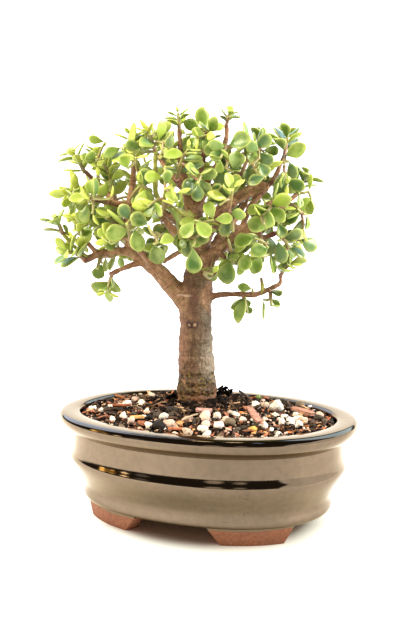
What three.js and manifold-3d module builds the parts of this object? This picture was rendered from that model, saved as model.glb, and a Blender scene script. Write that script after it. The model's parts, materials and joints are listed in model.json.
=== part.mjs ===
// Dwarf jade bonsai in an oval glazed pot, in millimetres, +Z up.
// The origin is the centre of the pot's footprint, with the pot's long axis along X.
import * as THREE from "three";
import { mergeVertices } from "three/addons/utils/BufferGeometryUtils.js";
import Module from "manifold-3d";

const wasm = await Module();
wasm.setup();

// Pot
const LIP_HALF_LENGTH = 102.5;
const LIP_HALF_WIDTH = 78.6;
const OVAL_POWER = 2.14; // 2 is a true ellipse, more is squarer
const OVAL_SEGMENTS = 40;
const RIM_HEIGHT = 70.2;
const BASE_HEIGHT = 11.3;
const FLOOR_HEIGHT = 17;
const FLOOR_EDGE_INSET = 25;
const INNER_WALL_INSET = 15;
const UNDERSIDE_INSET = 22.6;
const CORE_RADIUS = 60; // inside this the rings shrink evenly to the centre
const DRAIN_RADIUS = 7;
const DRAIN_SPACING = 76;

// Feet, as angles around the oval from the end of the long axis
const FOOT_MIDDLE_ANGLE = 52;
const FOOT_TOP_HALF_SPAN = 23.5;
const FOOT_BOTTOM_HALF_SPAN = 16.5;
const FOOT_OUTER_INSET = 19;
const FOOT_THICKNESS = 12;
const FOOT_ROOT = 1; // how far a foot runs up into the base

// Wall control points: inset from the lip's widest oval, then height
const WALL_OUTSIDE = [
  [18.6, 10.8],
  [16, 14.2],
  [16.6, 19.8],
  [11.4, 30.6],
  [7.2, 38.8],
  [8.6, 44.6],
  [9.3, 56.8],
];
const LIP_OUTSIDE = [
  [9.3, 56.8],
  [3.6, 60.7],
  [0.1, 65.6],
  [3.4, RIM_HEIGHT],
];
const WALL_INSIDE = [
  [12.8, RIM_HEIGHT],
  [14.2, 68],
  [INNER_WALL_INSET, 60],
  [INNER_WALL_INSET, 36],
  [FLOOR_EDGE_INSET, FLOOR_HEIGHT],
];

// Soil and what lies in and on it
const GAP = 0.3; // clearance between pieces that touch
const SOIL_EDGE_HEIGHT = 67.6;
const SOIL_MOUND = 5.8; // rise of the soil from the wall to the trunk
const MOUND_REACH = 78;
const SOIL_SHOULDER_HEIGHT = 42; // where the filling reaches its full breadth
const SCREEN_SIDE = 26;
const SCREEN_THICKNESS = 1.2;
const SCREEN_STRIPS = 4; // each way
const STRIP_WIDTH = 2.4;

// Plant frame: across to the right, away to the back, and height above the table
const TRUNK_FOOT = new THREE.Vector3(-13, 15, 0);
const FACING = THREE.MathUtils.degToRad(22.3); // the plant's best side is turned from the pot's

const TRUNK_SIDES = 12;
const LIMB_SIDES = 6;
const SHOOT_SIDES = 5;
const STEPS_PER_POINT = 1.1; // along each limb

// Wood: each limb is a run of across, away, height and radius
const LIMBS = {
  trunk: [
    [0, 1, 46, 10], [0, 0, 62, 14.5], [0, 0, 72, 15], [0, 0, 80, 13.9], [0, 0, 94, 12.6],
    [-1, 0, 109, 12.1], [-1, 0, 123, 11.3], [-1.5, 0, 137, 11.2], [-1, 0, 148, 11.8],
    [0.5, 0, 160, 10.2], [1.5, 1, 178, 8.6], [-1, 2, 196, 6.6], [-6, 2, 213, 4.4],
    [-10, 1, 228, 3], [-12, 0, 242, 2.1], [-13, -1, 260, 1.6],
  ],
  front_root: [[-3, -5, 84, 6], [-4, -9, 76, 7], [-4, -13, 64, 6]],
  left_root: [[-6, -3, 80, 6], [-15, -7, 68, 4.5], [-27, -11, 58, 3]],
  right_root: [[6, -2, 80, 6], [15, -5, 68, 4.5], [27, -8, 58, 3]],
  back_root: [[1, 6, 80, 6], [3, 15, 67, 4.5], [5, 27, 56, 3]],
  left_limb: [
    [-3, 0, 138, 8.5], [-11, -1, 147, 7.6], [-18, -2, 154, 6.6], [-26, -3, 163, 6],
    [-34, -4, 170, 5.4], [-41, -5, 175, 4.8], [-48, -6, 180, 4.2],
  ],
  left_low: [[-44, -6, 177, 3.2], [-55, -8, 177.5, 2.6], [-64, -10, 176.5, 2.4], [-77, -14, 171, 2.2]],
  left_spur: [[-67, -11, 175.5, 1.8], [-72, -13, 181, 1.6], [-76, -14, 186, 1.4]],
  left_twig: [[-74, -13, 173, 1.6], [-82, -15, 180, 1.4], [-91, -17, 190, 1.2]],
  left_under: [[-36, -5, 171, 2.6], [-48, -11, 167, 1.9], [-59, -16, 162, 1.8]],
  left_upright: [
    [-46, -6, 178, 3.8], [-48, -8, 190, 2.8], [-46.5, -9, 208, 2.6], [-44, -10, 223, 2.2],
    [-43, -11, 237, 1.8],
  ],
  left_stub: [[-46, -9, 209, 2.4], [-57, -13, 210, 2.3], [-69, -17, 213, 2.3]],
  left_crown: [[-47, -8, 200, 2.4], [-58, 2, 212, 2.2], [-70, 6, 224, 1.9], [-78, 4, 232, 1.6]],
  left_back: [[-40, -4, 174, 3.6], [-48, 12, 186, 3], [-56, 26, 200, 2.2], [-60, 34, 214, 1.6]],
  left_front: [[-30, -5, 166, 3], [-36, -20, 176, 2.4], [-44, -34, 184, 1.8]],
  inner_riser: [
    [-4, 0, 200, 3.4], [-16, -12, 206, 2.2], [-27, -18, 214, 1.9], [-28, -19, 232, 1.7],
    [-28, -19, 246, 1.5],
  ],
  inner_stub: [[-8, -1, 218, 2.4], [-13, -12, 223, 2.1], [-14, -19, 226, 2]],
  inner_twig: [[-2, -5, 180, 2.4], [-11, -13, 178, 1.8], [-23, -18, 171, 1.6]],
  right_limb: [
    [0, 0, 178, 6.5], [7, -4, 192, 4.8], [13, -7, 203, 4.3], [22, -9, 211, 4.1],
    [32, -11, 217, 4], [40, -13, 221, 3.8], [47, -14, 221, 3],
  ],
  right_riser: [[-3, 1, 204, 3.4], [6, -4, 219, 2.3], [18, -6, 226, 2], [29, -8, 230, 1.8]],
  right_low: [
    [0, -2, 164, 6], [9, -8, 174, 4.6], [17, -11, 181, 3.9], [24, -13, 187, 3.4],
    [33, -15, 191.5, 3], [41, -17, 195, 2.6],
  ],
  right_red_twig: [[35, -16, 190, 2], [44, -19, 188, 1.8], [52, -21, 191, 1.7]],
  right_dark_twig: [[29, -14, 190, 2.4], [34, -12, 206, 2.2], [44, -11, 219, 1.9]],
  right_far: [[39, -16, 194, 2.6], [50, -10, 203, 2.2], [60, -5, 211, 1.8], [68, -3, 218, 1.5]],
  right_far_riser: [[43, -11, 217, 2], [52, -8, 229, 1.8], [58, -6, 243, 1.4]],
  right_branch: [
    [5, -2, 145, 3.4], [14, -5, 148, 2.2], [29, -7, 149, 1.9], [40, -9, 149, 1.9],
    [51, -11, 154, 1.7], [56, -12, 157, 1.5], [56, -13, 163, 1.2],
  ],
  right_branch_stub: [[44, -10, 150.5, 1.4], [44, -11, 155, 1.3], [43, -12, 161, 1.2]],
  crown_right: [
    [-4, 2, 206, 3], [4, 6, 222, 2.4], [14, 8, 240, 2], [19, 8, 256, 1.8], [19, 7, 265, 1.6],
  ],
  crown_middle: [[-5, 0, 212, 2.4], [1, -5, 228, 1.9], [4, -7, 245, 1.7]],
  crown_left_back: [[-9, 1, 220, 2.4], [-20, 10, 232, 2], [-30, 14, 246, 1.6]],
  crown_right_back: [[12, 8, 237, 2], [26, 16, 244, 1.8], [40, 18, 248, 1.4]],
  back_right: [[1, 3, 168, 5], [12, 18, 182, 3.8], [24, 30, 198, 3], [34, 38, 212, 2.2]],
  back_right_low: [[20, 27, 193, 2.4], [36, 32, 196, 2], [50, 34, 198, 1.6]],
  back_middle: [[-1, 4, 184, 4.5], [0, 18, 198, 3.2], [2, 32, 214, 2.6], [2, 42, 228, 1.8]],
  back_left: [[-3, 3, 176, 4.5], [-16, 20, 190, 3.2], [-28, 34, 204, 2.4], [-36, 42, 214, 1.8]],
  front_left: [[-4, -3, 190, 3.6], [-14, -20, 198, 2.6], [-22, -36, 204, 2]],
  front_right: [[4, -5, 186, 3.6], [12, -22, 196, 2.6], [20, -38, 204, 2]],
};

// Young stems
const SHOOT_RADII = [1.3, 1.1, 0.9]; // at the foot, middle and tip
const SHOOT_ARCH = 1; // rise of the middle

// Leaves, as shares of their length
const LEAF_PLUMPNESS = 0.07;
const LEAF_FOOT_BREADTH = 0.24;
const LEAF_TIP_BREADTH = 0.44;
const LEAF_SIDES = 6;
const LEAF_FOOT_OFFSET = 0.5; // from the stem's middle, in millimetres
const LEAF_LEAN = 0.7; // how much a leaf points along its stem
const LEAF_TURNS = [0, 25, -25, 50, -50]; // degrees tried until the leaf is clear of the rest
const TOP_PAIR_SIZE = 0.7;

// Leafy shoots: foot on the wood, tip, pairs of leaves, and the length of the longest leaf
const SHOOTS = {
  left_tip: [[-90, -17, 189], [-94, -19, 198], 3, 12],
  left_outer: [[-76, -14, 172], [-86, -24, 178], 3, 15],
  left_hanging: [[-64, -10, 176], [-67, -19, 166], 3, 13],
  left_under: [[-57, -15.5, 163], [-60, -22, 151], 3, 15],
  left_spur: [[-76, -14, 185], [-80, -19, 199], 3, 13],
  left_stub: [[-60, -14, 210.5], [-72, -32, 213], 3, 14],
  left_far: [[-69, -17, 213], [-87, -14, 216], 3, 11],
  left_upper_outer: [[-78, 4, 231], [-86, 0, 244], 4, 13],
  left_upper_inner: [[-69, 6, 223], [-70, 4, 246], 4, 14],
  left_middle_high: [[-57, 1, 211], [-61, -6, 232], 3, 14],
  left_middle_low: [[-48, -8, 192], [-60, -26, 200], 3, 14],
  left_upright_tip: [[-43, -11, 236], [-46, -13, 255], 3, 12],
  left_upright_side: [[-46, -9, 212], [-36, -26, 222], 3, 14],
  left_back_high: [[-60, 33, 212], [-63, 36, 232], 4, 14],
  left_back_low: [[-52, 20, 193], [-72, 22, 199], 3, 14],
  left_front: [[-43, -33, 183], [-44, -48, 196], 4, 14],
  left_inner: [[-29, -4, 166], [-28, -24, 184], 3, 13],
  crown_tip: [[-13, -1, 259], [-14, -3, 271], 3, 9],
  crown_left: [[-12, 0, 241], [-24, -2, 256], 4, 13],
  crown_left_front: [[-28, -19, 244], [-34, -24, 256], 3, 12],
  crown_middle: [[4, -7, 243], [5, -9, 258], 3, 12],
  crown_right: [[19, 7, 264], [21, 5, 272], 3, 9],
  crown_right_front: [[18, -6, 226], [21, -22, 243], 4, 14],
  crown_left_back: [[-30, 14, 245], [-36, 18, 260], 3, 13],
  crown_back: [[2, 42, 227], [0, 42, 246], 4, 14],
  crown_right_back: [[39, 18, 248], [45, 20, 260], 3, 13],
  crown_front: [[-14, -18, 226], [-9, -34, 240], 3, 14],
  right_upper: [[58, -6, 242], [60, -7, 257], 3, 13],
  right_upper_middle: [[29, -8, 230], [38, -13, 250], 4, 14],
  right_tip: [[68, -3, 218], [74, -2, 230], 3, 12],
  right_tip_low: [[61, -5, 211], [70, -15, 204], 3, 13],
  right_middle: [[50, -10, 203], [44, -30, 210], 3, 14],
  right_low: [[52, -21, 191], [60, -28, 182], 3, 14],
  right_under: [[41, -17, 194], [42, -33, 180], 3, 14],
  right_branch_tip: [[56, -13, 162], [62, -18, 170], 3, 13],
  right_branch_hanging: [[31, -7, 149], [34, -14, 137], 2, 17],
  right_branch_low: [[49, -10.5, 153], [50, -18, 142], 2, 14],
  right_front: [[20, -12, 184], [26, -27, 170], 3, 14],
  right_back_high: [[34, 38, 211], [41, 36, 228], 4, 14],
  right_back_low: [[50, 34, 198], [62, 28, 206], 3, 14],
  right_back_under: [[24, 30, 197], [28, 42, 180], 3, 14],
  front_left: [[-22, -36, 204], [-20, -50, 218], 4, 15],
  front_middle: [[-12, -17, 196], [-6, -36, 186], 3, 15],
  front_right: [[20, -38, 204], [22, -52, 218], 4, 14],
  front_low: [[12, -10, 177], [9, -19, 161], 2, 12],
  back_middle: [[1, 24, 205], [-6, 46, 204], 4, 14],
};

// Larger loose pieces on the soil: place from the pot's centre, size, and turn
const PEBBLES = [
  { name: "pumice_01", place: [-38, -44], size: [6, 5, 4.4], turn: 20 },
  { name: "pumice_02", place: [4, -54], size: [6.4, 5.2, 4.6], turn: 70 },
  { name: "pumice_03", place: [48, -34], size: [7, 5.4, 5], turn: 130 },
  { name: "pumice_04", place: [62, -14], size: [7.4, 6, 5], turn: 45 },
  { name: "amber_pebble", place: [24, -52], size: [6, 5, 4.2], turn: 10 },
];
const CHIPS = [
  { name: "bark_chip_01", place: [4, -12], size: [10, 7.5, 1.8], turn: 60 },
  { name: "bark_chip_02", place: [34, -32], size: [18, 4.6, 2], turn: -55 },
  { name: "bark_chip_03", place: [70, 4], size: [12, 3.6, 1.8], turn: -20 },
];

const POT_MATERIAL = new THREE.MeshStandardMaterial({ color: 0x6b5744, roughness: 0.2, metalness: 0.4 });
const SCREEN_MATERIAL = new THREE.MeshStandardMaterial({ color: 0x1c1f1c, roughness: 0.6 });
const SOIL_MATERIAL = new THREE.MeshStandardMaterial({ color: 0x2c211a, roughness: 1 });
const WOOD_MATERIAL = new THREE.MeshStandardMaterial({ color: 0x9c8260, roughness: 0.85 });
const LEAF_MATERIAL = new THREE.MeshStandardMaterial({ color: 0x6f9a35, roughness: 0.45 });
const PUMICE_MATERIAL = new THREE.MeshStandardMaterial({ color: 0xe8dfd2, roughness: 0.95 });
const AMBER_MATERIAL = new THREE.MeshStandardMaterial({ color: 0xc79a55, roughness: 0.6 });
const BARK_MATERIAL = new THREE.MeshStandardMaterial({ color: 0x9a6450, roughness: 0.95 });

// A repeatable number from 0 to 1 for the variation between like pieces.
function vary(row, column) {
  const wave = Math.sin(row * 12.9898 + column * 78.233) * 43758.5453;
  return wave - Math.floor(wave);
}

// A closed geometry as a solid: shared corners are merged and empty triangles dropped.
function toSolid(geometry) {
  const bare = geometry.clone();
  bare.deleteAttribute("normal");
  bare.deleteAttribute("uv");
  const merged = mergeVertices(bare);
  const corners = merged.index.array;
  const triangles = [];
  for (let i = 0; i < corners.length; i += 3) {
    const [a, b, c] = [corners[i], corners[i + 1], corners[i + 2]];
    if (a !== b && b !== c && c !== a) triangles.push(a, b, c);
  }
  const vertProperties = merged.attributes.position.array;
  const triVerts = Uint32Array.from(triangles);
  return new wasm.Manifold(new wasm.Mesh({ numProp: 3, vertProperties, triVerts }));
}

function toMesh(name, solid, material) {
  const { vertProperties, triVerts } = solid.getMesh();
  const geometry = new THREE.BufferGeometry();
  geometry.setAttribute("position", new THREE.BufferAttribute(vertProperties, 3));
  geometry.setIndex(new THREE.BufferAttribute(triVerts, 1));
  const mesh = new THREE.Mesh(geometry, material);
  mesh.name = name;
  return mesh;
}

function joined(solids) {
  return solids.reduce((whole, solid) => whole.add(solid));
}

function largestBody(solid) {
  const bodies = solid.decompose();
  return bodies.reduce((best, body) => (body.volume() > best.volume() ? body : best));
}

function moveVertices(geometry, place) {
  const position = geometry.attributes.position;
  const vertex = new THREE.Vector3();
  for (let i = 0; i < position.count; i += 1) {
    vertex.fromBufferAttribute(position, i);
    place(vertex);
    position.setXYZ(i, vertex.x, vertex.y, vertex.z);
  }
  return geometry;
}

// A point on the oval that passes the long axis at the given radius.
function ovalPoint(radius, angle, height) {
  const difference = LIP_HALF_LENGTH - LIP_HALF_WIDTH;
  const core = (CORE_RADIUS - difference) / CORE_RADIUS;
  const shortRadius = radius > CORE_RADIUS ? radius - difference : radius * core;
  const bend = (value) => Math.sign(value) * Math.abs(value) ** (2 / OVAL_POWER);
  return [radius * bend(Math.cos(angle)), shortRadius * bend(Math.sin(angle)), height];
}

// A profile of radius and height carried around the oval.
function ovalLathe(profile) {
  const lathe = new THREE.LatheGeometry(profile, OVAL_SEGMENTS);
  return moveVertices(lathe, (vertex) => {
    const radius = Math.hypot(vertex.x, vertex.z);
    vertex.set(...ovalPoint(radius, Math.atan2(vertex.x, vertex.z) - Math.PI / 2, vertex.y));
  });
}

function smoothProfile(points, steps) {
  const curve = new THREE.SplineCurve(points.map(([inset, height]) => new THREE.Vector2(inset, height)));
  return curve.getSpacedPoints(steps);
}

function potProfile() {
  const rim = smoothProfile(LIP_OUTSIDE, 4).slice(1);
  const outside = smoothProfile(WALL_OUTSIDE, 10);
  const inside = smoothProfile(WALL_INSIDE, 4);
  const insets = [...outside, ...rim, ...inside];
  const wall = insets.map((point) => new THREE.Vector2(LIP_HALF_LENGTH - point.x, point.y));
  return [
    new THREE.Vector2(0, BASE_HEIGHT),
    new THREE.Vector2(LIP_HALF_LENGTH - UNDERSIDE_INSET, BASE_HEIGHT),
    ...wall,
    new THREE.Vector2(0, FLOOR_HEIGHT),
  ];
}

// A foot is a block bent round the oval, longer at its top than on the table.
function footSolid(quarter) {
  const block = new THREE.BoxGeometry(1, 1, 1, 6, 1, 1);
  const [mirrorX, mirrorY] = quarter;
  moveVertices(block, (vertex) => {
    const up = vertex.z + 0.5;
    const halfSpan = THREE.MathUtils.lerp(FOOT_BOTTOM_HALF_SPAN, FOOT_TOP_HALF_SPAN, up);
    const angle = THREE.MathUtils.degToRad(FOOT_MIDDLE_ANGLE - vertex.x * 2 * halfSpan);
    const radius = LIP_HALF_LENGTH - FOOT_OUTER_INSET + (vertex.y - 0.5) * FOOT_THICKNESS;
    const [x, y] = ovalPoint(radius, angle, 0);
    vertex.set(x * mirrorX, y * mirrorY, up * (BASE_HEIGHT + FOOT_ROOT));
  });
  return toSolid(mirrorX * mirrorY > 0 ? block : flipped(block));
}

// Mirroring turns a surface inside out, so its triangles are turned back.
function flipped(geometry) {
  const corners = geometry.index.array;
  for (let i = 0; i < corners.length; i += 3) {
    [corners[i], corners[i + 1]] = [corners[i + 1], corners[i]];
  }
  return geometry;
}

function drainCentres() {
  return [-DRAIN_SPACING / 2, DRAIN_SPACING / 2];
}

function makePot() {
  let pot = toSolid(ovalLathe(potProfile()));
  for (const quarter of [[1, 1], [-1, 1], [-1, -1], [1, -1]]) {
    pot = pot.add(footSolid(quarter));
  }
  for (const x of drainCentres()) {
    const drill = new THREE.CylinderGeometry(DRAIN_RADIUS, DRAIN_RADIUS, 3 * FLOOR_HEIGHT, 16);
    drill.rotateX(Math.PI / 2).translate(x, 0, FLOOR_HEIGHT);
    pot = pot.subtract(toSolid(drill));
  }
  return toMesh("pot", pot, POT_MATERIAL);
}

// A moulded square mesh of crossing strips.
function makeScreen(name, x) {
  const strips = [];
  for (let strip = 0; strip < SCREEN_STRIPS; strip += 1) {
    const offset = (strip / (SCREEN_STRIPS - 1) - 0.5) * (SCREEN_SIDE - STRIP_WIDTH);
    const lengthwise = new THREE.BoxGeometry(SCREEN_SIDE, STRIP_WIDTH, SCREEN_THICKNESS);
    const crosswise = new THREE.BoxGeometry(STRIP_WIDTH, SCREEN_SIDE, SCREEN_THICKNESS);
    strips.push(toSolid(lengthwise.translate(0, offset, 0)), toSolid(crosswise.translate(offset, 0, 0)));
  }
  const screen = toMesh(name, joined(strips), SCREEN_MATERIAL);
  screen.position.set(x, 0, FLOOR_HEIGHT + GAP + SCREEN_THICKNESS / 2);
  return screen;
}

// Height of the soil's surface, which rises towards the trunk.
function soilHeight(x, y) {
  const distance = Math.hypot(x - TRUNK_FOOT.x, y - TRUNK_FOOT.y);
  const nearness = Math.max(0, 1 - distance / MOUND_REACH);
  return SOIL_EDGE_HEIGHT + SOIL_MOUND * nearness;
}

function makeSoil(buried) {
  const wall = LIP_HALF_LENGTH - INNER_WALL_INSET - GAP;
  const floor = LIP_HALF_LENGTH - FLOOR_EDGE_INSET - GAP;
  const profile = [
    [0, FLOOR_HEIGHT + GAP],
    [floor - 1, FLOOR_HEIGHT + GAP],
    [wall - 2, SOIL_SHOULDER_HEIGHT - 8],
    [wall, SOIL_SHOULDER_HEIGHT],
    [wall, SOIL_EDGE_HEIGHT],
    [0.73 * wall, SOIL_EDGE_HEIGHT],
    [0.42 * wall, SOIL_EDGE_HEIGHT],
    [0, SOIL_EDGE_HEIGHT],
  ];
  const filling = ovalLathe(profile.map(([radius, height]) => new THREE.Vector2(radius, height)));
  moveVertices(filling, (vertex) => {
    if (vertex.z > SOIL_EDGE_HEIGHT - 1) vertex.z = soilHeight(vertex.x, vertex.y);
  });
  const soil = buried.reduce((rest, solid) => rest.subtract(solid), toSolid(filling));
  return toMesh("soil", largestBody(soil), SOIL_MATERIAL);
}

function screenPocket(x) {
  const side = SCREEN_SIDE + 2 * GAP;
  const height = SCREEN_THICKNESS + 4 * GAP;
  const pocket = new THREE.BoxGeometry(side, side, height);
  return toSolid(pocket.translate(x, 0, FLOOR_HEIGHT + height / 2));
}

// A tapered round stem along a smooth curve through points of across, away, height and radius.
// The extra makes it that much fatter and longer at both ends.
function stemGeometry(points, sides, extra = 0) {
  const curve = new THREE.CatmullRomCurve3(
    points.map(([across, away, height]) => new THREE.Vector3(across, away, height)),
    false,
    "centripetal",
  );
  const steps = Math.max(2, Math.round((points.length - 1) * STEPS_PER_POINT));
  const frames = curve.computeFrenetFrames(steps);
  const tube = new THREE.CylinderGeometry(1, 1, 1, sides, steps);
  return moveVertices(tube, (vertex) => {
    const step = Math.round((vertex.y + 0.5) * steps);
    const run = curve.getUtoTmapping(step / steps) * (points.length - 1);
    const before = Math.min(Math.floor(run), points.length - 2);
    const radius = THREE.MathUtils.lerp(points[before][3], points[before + 1][3], run - before) + extra;
    const offset = frames.normals[step].clone().multiplyScalar(vertex.x * radius);
    offset.addScaledVector(frames.binormals[step], -vertex.z * radius);
    if (step === 0) offset.addScaledVector(frames.tangents[step], -extra);
    if (step === steps) offset.addScaledVector(frames.tangents[step], extra);
    vertex.copy(curve.getPointAt(step / steps)).add(offset);
  });
}

function woodGeometries(extra) {
  return Object.entries(LIMBS).map(([name, points]) =>
    stemGeometry(points, name === "trunk" ? TRUNK_SIDES : LIMB_SIDES, extra));
}

// A plump leaf lying along +X from its foot at the origin, broadest past its middle.
function leafGeometry(length) {
  const profile = [
    new THREE.Vector2(0, -LEAF_PLUMPNESS),
    new THREE.Vector2(1, 0),
    new THREE.Vector2(0, LEAF_PLUMPNESS),
  ];
  const leaf = new THREE.LatheGeometry(profile, LEAF_SIDES);
  return moveVertices(leaf, (vertex) => {
    const along = (vertex.z + 1) / 2;
    const breadth = THREE.MathUtils.lerp(LEAF_FOOT_BREADTH, LEAF_TIP_BREADTH, along);
    vertex.set(along * length, vertex.x * breadth * length, vertex.y * length);
  });
}

// The leaf turned so that it grows from the foot along the direction, with its face to the given side.
function placedLeaf(foot, direction, face, length) {
  const side = new THREE.Vector3().crossVectors(face, direction).normalize();
  const normal = new THREE.Vector3().crossVectors(direction, side);
  const matrix = new THREE.Matrix4().makeBasis(direction, side, normal).setPosition(foot);
  return toSolid(leafGeometry(length).applyMatrix4(matrix));
}

function isClear(solid, obstacles) {
  return obstacles.every((obstacle) => solid.minGap(obstacle, 2 * GAP) >= GAP);
}

// The two leaves of each pair face each other, and each pair is turned a quarter from the last.
function growLeaves(row, [base, tip, pairs, longest], obstacles) {
  const [start, end] = [new THREE.Vector3(...base), new THREE.Vector3(...tip)];
  const growth = end.clone().sub(start).normalize();
  const level = new THREE.Vector3(-growth.y, growth.x, 0.2).normalize();
  const leaves = [];
  for (let pair = 1; pair <= pairs; pair += 1) {
    const isTop = pair === pairs;
    const node = start.clone().lerp(end, isTop ? 0.97 : (pair - 0.25) / pairs);
    for (const half of [0, 1]) {
      const quarter = pair * 90 + half * 180 + vary(row, pair) * 40;
      const size = longest * (isTop ? TOP_PAIR_SIZE : 0.85 + 0.3 * vary(row, pair * 2 + half));
      for (const turn of LEAF_TURNS) {
        const around = THREE.MathUtils.degToRad(quarter + turn);
        const out = level.clone().applyAxisAngle(growth, around);
        out.addScaledVector(growth, LEAF_LEAN).normalize();
        const foot = node.clone().addScaledVector(out, LEAF_FOOT_OFFSET);
        const leaf = placedLeaf(foot, out, growth, size);
        if (isClear(leaf, [...obstacles, ...leaves])) {
          leaves.push(leaf);
          break;
        }
      }
    }
  }
  return leaves;
}

function shootStem([base, tip]) {
  const middle = base.map((value, axis) => (value + tip[axis]) / 2);
  middle[2] += SHOOT_ARCH;
  const points = [base, middle, tip].map((place, index) => [...place, SHOOT_RADII[index]]);
  return stemGeometry(points, SHOOT_SIDES);
}

function makeShoots(wood, woodClearance) {
  const names = Object.keys(SHOOTS);
  const stems = names.map((name) => largestBody(toSolid(shootStem(SHOOTS[name])).subtract(woodClearance)));
  const grown = [];
  return names.map((name, row) => {
    const otherStems = stems.filter((_, other) => other !== row);
    const leaves = growLeaves(row, SHOOTS[name], [wood, ...otherStems, ...grown]);
    const shoot = largestBody(joined([stems[row], ...leaves]));
    grown.push(shoot);
    return toMesh(`shoot_${name}`, shoot, LEAF_MATERIAL);
  });
}

function pebbleGeometry([length, width, height], row) {
  const pebble = new THREE.DodecahedronGeometry(0.5);
  moveVertices(pebble, (vertex) => {
    const corner = Math.round(vertex.x * 90) + Math.round(vertex.y * 170) + Math.round(vertex.z * 310);
    vertex.multiplyScalar(0.9 + 0.2 * vary(row, corner));
  });
  return pebble.scale(length, width, height);
}

function chipGeometry([length, width, thickness]) {
  const chip = new THREE.BoxGeometry(length, width, thickness, 2, 1, 1);
  return moveVertices(chip, (vertex) => {
    vertex.y += 0.12 * vertex.x * Math.sign(vertex.y);
    vertex.z += 0.15 * Math.cos((vertex.x / length) * Math.PI) * thickness;
  });
}

function restOnSoil(geometry, material, { name, place, size, turn }) {
  const mesh = new THREE.Mesh(geometry, material);
  mesh.name = name;
  mesh.position.set(...place, soilHeight(...place) + size[2] * 0.3);
  mesh.rotation.z = THREE.MathUtils.degToRad(turn);
  mesh.updateMatrix();
  return mesh;
}

// The hollow that a loose piece has pressed into the soil, a little larger than the piece.
function soilHollow(mesh, size) {
  const growth = size.map((side) => (side + 2.4 * GAP) / side);
  return toSolid(mesh.geometry.clone().scale(...growth).applyMatrix4(mesh.matrix));
}

function makeLoosePieces() {
  const pebbles = PEBBLES.map((pebble, row) => restOnSoil(
    pebbleGeometry(pebble.size, row),
    pebble.name.startsWith("pumice") ? PUMICE_MATERIAL : AMBER_MATERIAL,
    pebble,
  ));
  const chips = CHIPS.map((chip) => restOnSoil(chipGeometry(chip.size), BARK_MATERIAL, chip));
  return [...pebbles, ...chips];
}

const plant = new THREE.Group();
plant.position.copy(TRUNK_FOOT);
plant.rotation.z = FACING;
plant.updateMatrix();

const wood = joined(woodGeometries(0).map(toSolid));
const woodClearance = joined(woodGeometries(GAP).map(toSolid));
plant.add(toMesh("trunk", wood, WOOD_MATERIAL), ...makeShoots(wood, woodClearance));

const loosePieces = makeLoosePieces();
const hollows = loosePieces.map((mesh, row) => soilHollow(mesh, [...PEBBLES, ...CHIPS][row].size));
const buriedWood = joined(woodGeometries(GAP).map((limb) => toSolid(limb.applyMatrix4(plant.matrix))));
const screens = ["left", "right"].map((side, i) => makeScreen(`drain_screen_${side}`, drainCentres()[i]));

const bonsai = new THREE.Group();
bonsai.add(makePot(), ...screens, plant, ...loosePieces);
bonsai.add(makeSoil([buriedWood, ...drainCentres().map(screenPocket), ...hollows]));

export default bonsai;
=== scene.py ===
import json
import math
import random
from collections import namedtuple

import bmesh
import bpy
import numpy as np
from mathutils import Matrix, Vector, noise
from mathutils.bvhtree import BVHTree
from mathutils.kdtree import KDTree

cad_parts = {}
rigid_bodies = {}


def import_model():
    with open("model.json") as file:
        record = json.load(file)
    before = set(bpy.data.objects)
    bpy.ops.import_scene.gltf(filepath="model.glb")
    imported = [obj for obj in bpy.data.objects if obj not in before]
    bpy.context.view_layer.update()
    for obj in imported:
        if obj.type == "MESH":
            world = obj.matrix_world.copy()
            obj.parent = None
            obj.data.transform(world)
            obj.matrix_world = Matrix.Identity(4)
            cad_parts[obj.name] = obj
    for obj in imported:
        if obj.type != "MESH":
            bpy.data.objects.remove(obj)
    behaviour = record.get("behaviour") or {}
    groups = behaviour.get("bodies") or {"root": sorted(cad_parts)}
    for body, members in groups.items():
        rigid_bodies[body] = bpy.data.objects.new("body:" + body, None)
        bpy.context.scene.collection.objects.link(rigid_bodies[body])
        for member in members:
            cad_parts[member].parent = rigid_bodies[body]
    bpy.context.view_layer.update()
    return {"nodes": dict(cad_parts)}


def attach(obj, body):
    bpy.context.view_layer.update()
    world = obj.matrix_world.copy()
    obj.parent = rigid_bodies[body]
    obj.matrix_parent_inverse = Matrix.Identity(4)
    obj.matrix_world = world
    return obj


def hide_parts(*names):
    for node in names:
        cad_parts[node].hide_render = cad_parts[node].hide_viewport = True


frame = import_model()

MM = 0.001

# Blender seeds the noise that bends the slivers of bark by the clock, unless it gets a seed of its own
NOISE_SEED = 3
noise.seed_set(NOISE_SEED)

# Camera, fitted to the pot's rim, base and feet in the photograph's frame
VIEW_YAW = math.radians(22.3)
VIEW_PITCH = math.radians(5.44)
VIEW_ROLL = math.radians(0.45)
VIEW_DISTANCE = 0.560
VIEW_TARGET = Vector((0.00097, 0.0003, 0.13767))
LENS_MM = 48.14
SENSOR_MM = 36.0
VIEW_BACK = Vector((
    math.sin(VIEW_YAW) * math.cos(VIEW_PITCH),
    -math.cos(VIEW_YAW) * math.cos(VIEW_PITCH),
    math.sin(VIEW_PITCH),
))
INTO_PICTURE = Vector((-math.sin(VIEW_YAW), math.cos(VIEW_YAW), 0.0))

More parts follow.
